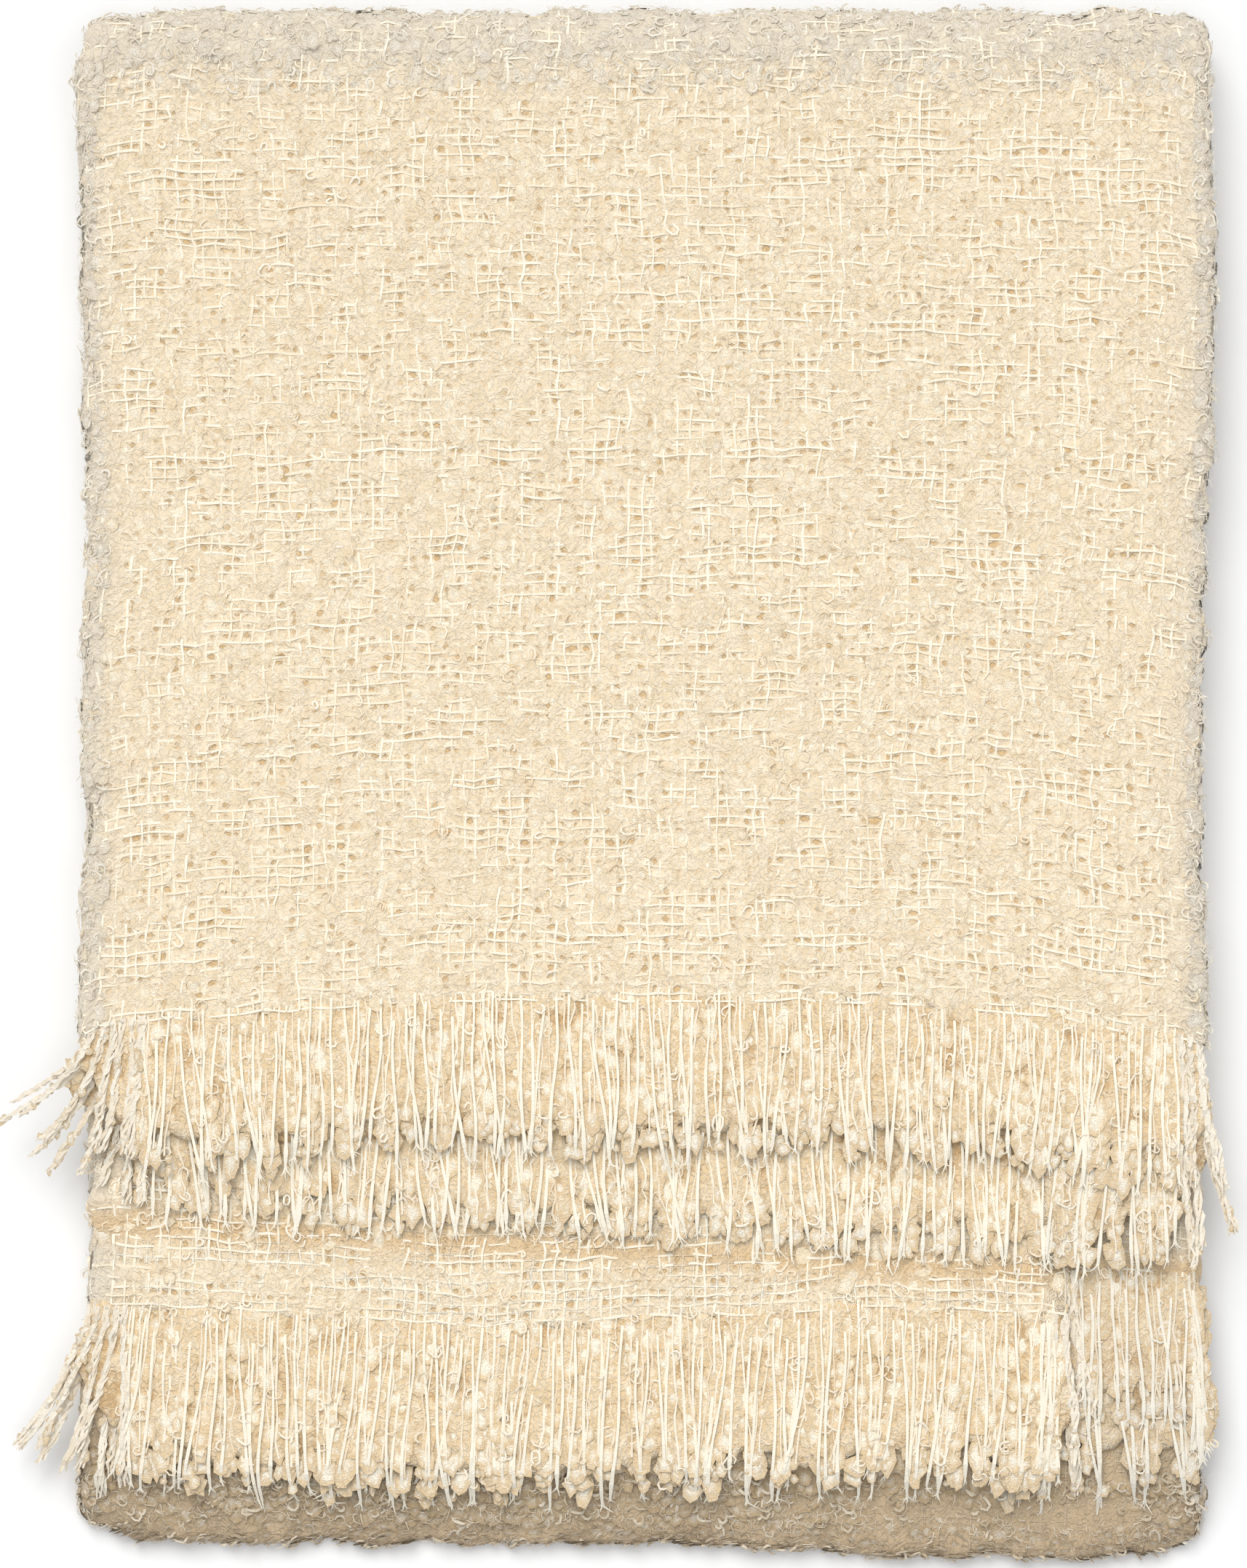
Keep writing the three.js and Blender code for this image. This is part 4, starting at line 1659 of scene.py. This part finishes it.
    def add_tip_hairs(self, parts: MeshParts, ends: np.ndarray, generator: np.random.Generator) -> None:
        """Frays the tips: a few short hairs fan out of each.

        Args:
            parts: where they go.
            ends: the last two points of each thread.
            generator: for the hairs.
        """
        ends = np.repeat(ends, self.tip_hairs, axis=0)
        tip, way = ends[:, 1], unit(ends[:, 1] - ends[:, 0])
        spread = generator.normal(0, 0.45, (len(tip), 3)) * np.array([1, 0.6, 0.4])
        length = generator.uniform(*self.tip_lengths, (len(tip), 1))
        points = (tip - 1.5 * way, tip + 0.4 * length * (way + 0.5 * spread), tip + length * (way + spread))
        radii = generator.uniform(*self.tip_hair, (len(tip), 1)) * np.array([1.0, 0.9, 0.3])[None, :]
        tones = generator.uniform(0.5, 1, len(tip))
        parts.add_yarns(np.stack(points, axis=1), radii, np.array([0.0, 0.1, 1.0]), tones)

    def add_boucle(
        self, curls: MeshParts, puffs: MeshParts, row: FringeRow, generator: np.random.Generator
    ) -> None:
        """Adds a row's boucle ends: tufts between the binder ends, and loops that stand out of them.

        Args:
            curls: where the loops go.
            puffs: where the tufts go.
            row: the row.
            generator: for their shapes.
        """
        across = self.roots(row)
        across = across[:-1] + np.diff(across) * generator.uniform(0.2, 0.8, len(across) - 1)
        across = self.upright(row, across)
        count, points = len(across), self.boucle_points
        share = np.linspace(row.start, 0.93, points)
        lift = np.interp(share, (0.0, 0.1, 0.8, 1.0), (0.2, 0.8, 1.0, 0.6))[None, :]
        paths = self.routes(row, across, share, lift, generator)
        for kind, number, towards_tip in ((puffs, row.puffs, (1.0, 0.95)), (curls, row.curls, (1.3, 1.0))):
            strand = generator.integers(0, count, number)
            later = generator.beta(*towards_tip, number)
            spot = np.clip((later * points).astype(int), 0, points - 1)
            centres = paths[strand, spot] + generator.normal(0, 1.0, (number, 3)) * np.array([1.3, 1.0, 0.3])
            if kind is puffs:
                grey_and_shade = np.clip(row.grey_and_shade + 0.6 * np.clip(share[spot] - 0.62, 0, 1) / 0.38, 0, 1)
                self.puff.add(puffs, centres, level_ways(number), generator, grey_and_shade)
            else:
                curls.grey_and_shade = row.grey_and_shade + 0.25
                tones = generator.uniform(0.3, 1.0, number)
                self.curl.add(curls, centres + 0.9 * UP, level_ways(number), generator, tones)
        soft = paths[:, ::4] + self.soft_lift * UP
        soft[:, :, 0] += generator.normal(0, 0.5, soft.shape[:2])
        radii = self.soft_yarn * generator.uniform(0.6, 1.3, soft.shape[:2])
        curls.add_yarns(soft, radii, UP, generator.uniform(0.2, 0.9, count), row.grey_and_shade + 0.1)
        ends = np.concatenate([paths[:, index] for index in (-1, -4)])
        ends = ends + generator.normal(0, 1.0, ends.shape) * np.array([1.0, 1.2, 0.2])
        self.wad.add(puffs, ends, level_ways(len(ends)), generator, row.grey_and_shade + 0.5)

    def add_flares(
        self, parts: MeshParts, puffs: MeshParts, row: FringeRow, generator: np.random.Generator
    ) -> None:
        """Adds the ropes of twisted ends that fan out beside the folds.

        Args:
            parts: where the yarns go.
            puffs: where the tufts along them go.
            row: the row.
            generator: for their twists.
        """
        across = np.linspace(*row.across, 2000)
        places = across[np.abs(self.leans(across)) > self.rope_lean]
        spots = np.unique(np.round(places / self.rope_gap)) * self.rope_gap
        if not len(spots):
            return
        points, number = self.rope_points, len(spots)
        share = np.linspace(-0.04, 1.0, points)
        lift = np.full((1, points), self.rope_lift)
        ropes = self.routes(row, np.clip(spots, *row.across), share, lift, generator)
        turn = generator.uniform(0, 2 * math.pi, (number, 1))
        turn = turn + np.linspace(0, self.rope_turn, points)[None, :]
        fray = np.interp(share, (-0.04, 0.1, 0.75, 1.0), (0.7, 1.0, 1.15, 1.9))[None, :]
        parts.grey_and_shade = self.rope_grey
        for ply in range(self.rope_plies):
            angle = turn + ply * 2 * math.pi / self.rope_plies
            shift = np.stack([np.cos(angle), 0.4 * np.cos(angle), 0.8 * np.sin(angle)], axis=-1)
            paths = ropes + shift * (self.rope_twist * fray)[:, :, None]
            paths = paths + generator.normal(0, 0.4, paths.shape)
            paths[:, :, 2] = np.maximum(paths[:, :, 2], self.lowest)
            thins = np.interp(share, (0.9, 1.0), (1, 0.5))
            radii = generator.uniform(*self.rope_yarn, (number, points)) * thins
            parts.add_yarns(paths, radii, np.array([0.0, 0.05, 1.0]), generator.uniform(0.3, 1.0, number))
        count = self.rope_beads * number
        rope, spot = generator.integers(0, number, count), generator.integers(2, points, count)
        centres = ropes[rope, spot] + generator.normal(0, 1.0, (count, 3)) * np.array([0.7, 0.7, 0.3])
        self.bead.add(puffs, centres + 0.5 * UP, level_ways(count), generator, self.rope_grey)

    def add_bed(self, parts: MeshParts, row: FringeRow, generator: np.random.Generator) -> None:
        """Adds the mass that a row's finer boucle ends make together, clumped, ragged at the tips.

        Args:
            parts: where it goes.
            row: the row.
            generator: for its shape.
        """
        columns = max(4, round((row.across[1] - row.across[0]) / row.bed_column))
        across = np.linspace(*row.across, columns)
        inside = np.linspace(-0.09, 1.0, self.bed_rows)
        ragged = self.bed_share + 0.06 * self.clumps.at(across, 0, 3.1)
        ragged = ragged + 0.05 * self.clumps.at(across, 9, 11.0)
        ragged = ragged * (1 - 0.5 * np.clip(np.abs(self.leans(across)) / 20, 0, 1))
        share = np.where(inside[None, :] > 0, inside[None, :] * ragged[:, None], inside[None, :])
        grooves = self.clumps.at(across[:, None], share * row.length, 2.9)
        clumpy = self.clumps.at(across[:, None] + 500, share * row.length, 6.5)
        grooves = grooves * 0.5 + self.clumps.at(across[:, None] + 900, share * 14.0, 3.6)
        thick = np.interp(inside, (-0.09, 0.0, 0.5, 0.93, 1.0), (0.5, 1.0, 1.15, 0.9, 0.2))[None, :]
        top = self.bed_thick * thick + (0.5 * grooves + 0.45 * clumpy) * np.clip(thick, 0, 1)
        bottom = self.bed_under * thick * np.ones_like(top)
        faces = [self.routes(row, across, share, lift, generator, 0.0) for lift in (top, bottom)]
        grey_and_shade = row.grey_and_shade + 0.4 * np.clip(inside - 0.6, 0, 1)[None, :] / 0.4
        parts.add_sheet(*faces, np.clip(0.55 + 0.3 * grooves + 0.3 * clumpy, 0, 1), grey_and_shade)

    def build(self, name: str) -> list[bpy.types.Object]:
        """Builds the strands of this end.

        Args:
            name: the start of the pieces' names.

        Returns:
            The binder ends, the boucle ends, the bed of finer ends under them and the tufts.
        """
        generator = np.random.default_rng(self.seed)
        threads, boucle, bed, puffs = (MeshParts() for _ in range(4))
        for row in self.rows:
            self.add_threads(threads, row, generator)
            self.add_boucle(boucle, puffs, row, generator)
            self.add_flares(boucle, puffs, row, generator)
            self.add_bed(bed, row, generator)
        return [
            threads.make(name + "_binder_ends", False),
            boucle.make(name + "_boucle_ends", False),
            bed.make(name + "_boucle_bed"),
            puffs.make(name + "_tufts"),
        ]


@dataclass(frozen=True)
class Field:
    """An area of cloth that wool is strewn over, in millimetres across and stages along."""

    across: Span
    along: Span
    count: int

    def times(self, share: float) -> "Field":
        """The same area with this many times as many."""
        return replace(self, count=round(self.count * share))


@dataclass
class Pile:
    """What stands out of the cloth: curls and tufts of boucle, and single hairs.

    The clusterings say how strongly curls, tufts and hairs gather in fluffy patches, from 0 to 1.
    """

    shape: ThrowShape
    weave: Weave
    curl: Curl = Curl()
    fold_curl: Curl = Curl(radius=(1.4, 2.7), yarn=(0.4, 0.75), tilt=0.4)
    puff: Puff = Puff(radius=(1.5, 3.4), rise=(0.08, 0.18))
    edge_puff: Puff = Puff(radius=(1.4, 3.2), rise=(0.16, 0.3))
    curl_clustering: float = 0.8
    puff_clustering: float = 0.5
    hair_clustering: float = 0.4
    curl_lifts: Span = (-0.2, 0.6)
    puff_lifts: Span = (-0.3, 0.05)
    hair_lifts: Span = (0.0, 0.5)
    hair_lengths: Span = (2.5, 6.0)
    hair_radii: Span = (0.1, 0.2)
    hair_bend: float = 1.8
    lowest: float = 0.3
    fold_grey_and_shade: float = 0.65

    def scatter(self, field_: Field, generator: np.random.Generator, fluffy: float) -> tuple[np.ndarray, ...]:
        """Places over a field, more of them where the cloth is fluffy.

        Args:
            field_: the field.
            generator: for the places.
            fluffy: how strongly they gather in fluffy patches, from 0 to 1.

        Returns:
            Distances across and along.
        """
        start, stop = self.shape.distances(np.array(field_.along))
        across = generator.uniform(*field_.across, field_.count * 4)
        distance = generator.uniform(start, stop, field_.count * 4)
        fluff = self.weave.fluff(across, distance)
        keep = generator.uniform(0, 1, len(fluff)) < 1 - fluffy + fluffy * fluff
        return across[keep][: field_.count], distance[keep][: field_.count]

    def frames(self, across: np.ndarray, distance: np.ndarray, lift: np.ndarray) -> tuple[np.ndarray, Ways]:
        """Places on the cloth with the ways from them.

        Args:
            across: distances across the cloth.
            distance: distances along it.
            lift: how far each lies above the middle of the even cloth.

        Returns:
            The places, and the ways across, along and out of the cloth at each.
        """
        stage = self.shape.stages(distance)
        lift = lift + self.weave.swell(across, distance)
        here = self.shape.surface(across, stage, lift)
        out = unit(self.shape.surface(across, stage, lift + 0.5) - here, SPARE)
        aside = square_to(self.shape.surface(across + 0.5, stage, lift) - here, out)
        return here, (aside, np.cross(out, aside), out)

    def add_curls(self, parts: MeshParts, field_: Field, generator: np.random.Generator, curl: Curl) -> None:
        """Adds curls that lie half in the cloth.

        Args:
            parts: where they go.
            field_: the field.
            generator: for their places and shapes.
            curl: their kind.
        """
        across, distance = self.scatter(field_, generator, self.curl_clustering)
        lift = self.shape.thick / 2 + generator.uniform(*self.curl_lifts, len(across))
        here, ways = self.frames(across, distance, lift)
        curl.add(parts, here, ways, generator, generator.uniform(0, 1, len(across)))

    def add_puffs(self, parts: MeshParts, field_: Field, generator: np.random.Generator, puff: Puff) -> None:
        """Adds tufts that lie on the cloth, greyer and darker at the folds, partly as painted shade, and most
        so at the right, where it is painted shade.

        Args:
            parts: where they go.
            field_: the field.
            generator: for their places and shapes.
            puff: their kind.
        """
        across, distance = self.scatter(field_, generator, self.puff_clustering)
        lift = self.shape.thick / 2 + generator.uniform(*self.puff_lifts, len(across))
        here, ways = self.frames(across, distance, lift)
        # Painted shade: tufts at the folds are drained cooler and darker, fully along the right side.
        share = np.where(across > self.shape.across_marks.tight_fold - 20, 1.0, self.fold_grey_and_shade)
        puff.add(parts, here, ways, generator, share * self.weave.edge(across, distance))

    def add_hairs(
        self,
        parts: MeshParts,
        field_: Field,
        generator: np.random.Generator,
        stand: float,
        thick: float = 1.0,
    ) -> None:
        """Adds single hairs, curved, that lie on the cloth or stand off it.

        Args:
            parts: where they go.
            field_: the field.
            generator: for their places and shapes.
            stand: how far they stand off, in millimetres.
            thick: how many times the usual thickness they are.
        """
        across, distance = self.scatter(field_, generator, self.hair_clustering)
        count = len(across)
        lift = self.shape.thick / 2 + generator.uniform(*self.hair_lifts, count)
        here, ways = self.frames(across, distance, lift)
        turn = generator.uniform(0, 2 * math.pi, (count, 1))
        length = generator.uniform(*self.hair_lengths, (count, 1))
        share = np.linspace(0, 1, 4)[None, :]
        angle = turn + generator.normal(0, self.hair_bend, (count, 1)) * share
        first, second = length * share * np.cos(angle), length * share * np.sin(angle)
        height = generator.uniform(0.2, 1.0, (count, 1)) * stand * np.sin(math.pi * share * 0.7)
        paths = points_around(here, ways, (first, second, height))
        paths[:, :, 2] = np.maximum(paths[:, :, 2], self.lowest)
        thins = np.array([1, 0.9, 0.7, 0.2])[None, :]
        radii = thick * generator.uniform(*self.hair_radii, (count, 1)) * thins
        parts.add_yarns(paths, radii, ways[2][:, None, :] + ASKEW, generator.uniform(0.2, 1, count))

    def build(self) -> list[bpy.types.Object]:
        """Builds the wool that stands out of the cloth.

        Returns:
            The curls of the upper panel and of the lower ones, the hairs, the fuzz of the folds, the
            curls of the near fold, and the tufts of the upper panel, the folds and the near fold.
        """
        marks = self.shape.across_marks
        middle = (marks.wide_fold, marks.tucked)
        left, right = (marks.wide_fold - 1, marks.middle + 2), (marks.tight_fold - 2, marks.tucked + 1)
        lower_panel = (0.0, marks.middle)
        generator = np.random.default_rng(51)
        curls, lower, hairs, edges, fold, puffs, edge_puffs, fold_puffs = (MeshParts() for _ in range(8))
        self.add_curls(curls, Field(middle, (0.0, 1.0), 500), generator, self.curl)
        self.add_puffs(puffs, Field(middle, (0.0, 0.99), 2600), generator, self.puff)
        self.add_hairs(hairs, Field(middle, (0.0, 1.0), 2000), generator, 0.5)
        self.add_puffs(puffs, Field(lower_panel, LOWER_PANEL, 200), generator, self.puff)
        edge_fields = (
            Field(middle, (0.96, 1.5), 420),
            Field(middle, (1.5, 2.0), 200),
            Field(left, (0.0, 1.0), 240),
            Field(right, (0.0, 1.0), 240),
            Field(left, (2.0, 6.9), 240),
            Field(right, (2.0, 6.9), 200),
        )
        for field_ in edge_fields:
            self.add_curls(edges, field_, generator, self.curl)
            self.add_hairs(edges, field_.times(2.6), generator, 1.6, 1.4)
            self.add_puffs(edge_puffs, field_.times(1.7), generator, self.edge_puff)
        lower_fields = (
            Field(lower_panel, LOWER_PANEL, 240),
            Field((marks.tucked, marks.tucked + 60), TUCKED_STRIP, 40),
        )
        for field_ in lower_fields:
            self.add_curls(lower, field_, generator, self.curl)
            self.add_hairs(hairs, field_, generator, 1.5)
        for field_ in (Field(middle, (3.2, 4.0), 190), Field(middle, (3.99, 4.035), 300)):
            self.add_curls(fold, field_, generator, self.fold_curl)
            self.add_hairs(fold, field_.times(3.6), generator, 1.2, 1.5)
            self.add_puffs(fold_puffs, field_.times(3.0), generator, self.edge_puff)
        return [
            curls.make("curls_upper_panel", False),
            lower.make("curls_lower_panels", False),
            hairs.make("boucle_hairs", False),
            edges.make("fold_fuzz", False),
            fold.make("near_fold_curls", False),
            puffs.make("tufts_upper_panel"),
            edge_puffs.make("fold_tufts"),
            fold_puffs.make("near_fold_tufts"),
        ]


@dataclass
class Studio:
    """A pale floor, soft light from above, and a camera straight above the throw.

    A pixel of the photograph and the camera's sensor are in millimetres, the window's width is an
    angle in radians, and the other sizes and places are in metres.
    """

    pixel: float = 0.28
    picture: tuple[int, int] = (1714, 2156)
    aim: Span = (0.0028, 0.0013)
    top: float = 0.034
    distance: float = 3.0
    far_end: float = 50.0
    sensor: float = 36.0
    floor_size: float = 8.0
    floor_gap: float = 0.0006
    floor_colours: tuple[Colour, Colour] = (linear(247, 249, 252), linear(249, 251, 254))
    floor_mottle: float = 3.0
    sky: Colour = (1.0, 0.995, 0.985, 1.0)
    sky_strength: float = 0.42
    ceiling_place: tuple[float, float, float] = (0.0, -0.1, 2.2)
    ceiling_size: float = 1.6
    ceiling_power: float = 16.0
    window_place: tuple[float, float, float] = (-0.5, 1.5, 2.0)
    window_way: tuple[float, float, float] = (-0.2, 0.7, 1.0)
    window_width: float = 0.6
    window_strength: float = 1.6
    key_colour: tuple[float, float, float] = (1.0, 0.985, 0.955)

    def build(self) -> None:
        """Builds the floor, the lights and the camera."""
        bpy.ops.object.select_all(action="DESELECT")
        self.lay_floor()
        ceiling = self.light("AREA", "soft_ceiling", self.ceiling_place, self.ceiling_place)
        ceiling.size, ceiling.energy = self.ceiling_size, self.ceiling_power
        window = self.light("SUN", "far_window", self.window_place, self.window_way)
        window.angle, window.energy = self.window_width, self.window_strength
        self.set_sky()
        self.set_camera()

    def lay_floor(self) -> None:
        """Lays the floor under the throw."""
        bpy.ops.mesh.primitive_plane_add(size=self.floor_size, location=(0, 0, -self.floor_gap))
        floor = bpy.context.active_object
        floor.name = "pale_floor"
        graph = Graph("pale_floor")
        mottle = graph.noise(graph.object_place(), self.floor_mottle)
        floor.data.materials.append(graph.finish(graph.mix(mottle, *self.floor_colours), None, 0.0, 0.0))

    def light(
        self, kind: str, name: str, place: tuple[float, float, float], way: tuple[float, float, float]
    ) -> bpy.types.Light:
        """Adds a light in the key colour.

        Args:
            kind: Blender's name for the kind of light.
            name: its name.
            place: where it hangs.
            way: the way from the throw to it.

        Returns:
            The light's data.
        """
        turned = Vector(way).to_track_quat("Z", "Y").to_euler()
        bpy.ops.object.light_add(type=kind, location=place, rotation=turned)
        light = bpy.context.active_object
        light.name = name
        light.data.color = self.key_colour
        return light.data

    def set_sky(self) -> None:
        """Sets an even pale sky and plain colours."""
        world = bpy.data.worlds.new("studio")
        world.use_nodes = True
        inputs = world.node_tree.nodes["Background"].inputs
        inputs["Color"].default_value = self.sky
        inputs["Strength"].default_value = self.sky_strength
        bpy.context.scene.world = world
        bpy.context.scene.view_settings.view_transform = "Standard"

    def set_camera(self) -> None:
        """Hangs the camera so that the photograph's frame fits at the height of the top layer."""
        bpy.ops.object.camera_add(location=(*self.aim, self.top + self.distance), rotation=(0, 0, 0))
        camera = bpy.context.active_object
        camera.name = "camera_above"
        tall = self.picture[1] * self.pixel * MM
        camera.data.sensor_width = self.sensor
        camera.data.lens = self.sensor * self.distance / tall
        camera.data.clip_end = self.far_end
        bpy.context.scene.camera = camera


def dress(pieces: list[bpy.types.Object], material: bpy.types.Material) -> None:
    """Gives pieces their material and their body, and reports them.

    Args:
        pieces: the pieces.
        material: what they are made of.
    """
    for piece in pieces:
        mesh = piece.data
        mesh.materials.clear()
        mesh.materials.append(material)
        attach(piece, "root")
        LOG.info("%s: %d triangles", piece.name, len(mesh.loops) - 2 * len(mesh.polygons))


def fringe_rows(marks: Marks) -> dict[End, tuple[FringeRow, ...]]:
    """The rows of fringe at each end, the ones that lie lowest first.

    Args:
        marks: the distances across the cloth at which its stretches begin.

    Returns:
        The rows by their end.
    """
    short, wide, middle, tight, tucked, selvedge = marks
    # Rows with a greyness value are drained cooler and darker, as painted shade where they lie deeper.
    first = (
        FringeRow((short, wide), 54.0, 30.9, 70, 620, 3.0, start=0.4),
        FringeRow((tucked, selvedge), 30.0, 33.0, 10, 20, 4.0, start=0.4, from_x=195.0),
        FringeRow((tucked, tucked + 58), 78.0, 32.2, 25, 200, 3.0, start=0.5, grey_and_shade=0.2),
        FringeRow((wide, tucked), 57.0, 35.6, 190, 1600, 2.0),
    )
    second = (
        FringeRow((middle, tight), 72.0, 20.5, 20, 160, from_x=150.0, grey_and_shade=0.6),
        FringeRow((tight, selvedge), 57.0, 22.5, 25, 260, from_x=150.0, grey_and_shade=0.5),
        FringeRow((short, middle), 66.0, 22.8, 230, 1700, 2.0),
    )
    return {End.FIRST: first, End.SECOND: second}


def main() -> None:
    """Builds the throw and its studio."""
    logging.basicConfig(level=logging.INFO, format="%(message)s")
    shape = ThrowShape()
    weave = Weave(shape)
    marks = shape.across_marks
    rows = fringe_rows(marks)
    cloth = Cloth(shape, weave).build()
    binder = Binder(shape, weave).build()
    first = Fringe(shape, weave, End.FIRST, FIRST_LEAN, rows[End.FIRST], 41).build("fringe_first")
    second = Fringe(shape, weave, End.SECOND, SECOND_LEAN, rows[End.SECOND], 97).build("fringe_second")
    pile = Pile(shape, weave).build()
    thread = YarnFinish("binder_thread", linear(249, 237, 212), linear(255, 249, 233)).make()
    yarn = YarnFinish("boucle_yarn", linear(234, 214, 181), linear(254, 246, 229), 0.0005, 900.0)
    # Partly painted shade: the folds' fuzz is greyer and darker, from its own greyness and from shade where
    # the folds turn away.
    fuzz = YarnFinish("fold_fuzz", linear(218, 208, 190), linear(243, 237, 224), 0.0005, 1100.0)
    wool = yarn.make()
    # Painted shade: the near fold's yarn is darker, as the fold lies in shade.
    shaded_fold_yarn = replace(yarn, name="near_fold_shaded_yarn", dark=linear(176, 158, 130), light=linear(226, 215, 196))
    tufts = PuffFinish("fringe_tuft", linear(228, 203, 163), linear(255, 247, 229))
    # Partly painted shade: the folds' tufts are greyer and darker, from their own greyness and from shade
    # where the folds turn away.
    fold_tufts = PuffFinish("fold_tuft", linear(233, 220, 198), linear(246, 237, 220))
    # Painted shade: the near fold's tufts are darker, as the fold lies in shade.
    shaded_fold_tufts = PuffFinish("near_fold_shaded_tuft", linear(190, 166, 130), linear(218, 205, 183))
    pitches = (weave.warp_pitch, weave.weft_pitch, 0.0)
    dress([cloth], ClothFinish(pitches).make())
    dress(binder, thread)
    dress([first[0], second[0]], thread)
    dress([first[1], second[1]], wool)
    dress([first[2], second[2]], BedFinish().make())
    dress([first[3], second[3]], tufts.make())
    dress(pile[:3], wool)
    finishes = (fuzz, shaded_fold_yarn, PuffFinish("cloth_tuft"), fold_tufts, shaded_fold_tufts)
    for piece, finish in zip(pile[3:], finishes):
        dress([piece], finish.make())
    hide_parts("throw_cloth")
    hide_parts("fringe_first_end")
    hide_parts("fringe_second_end")
    Studio().build()


if __name__ == "__main__":
    main()
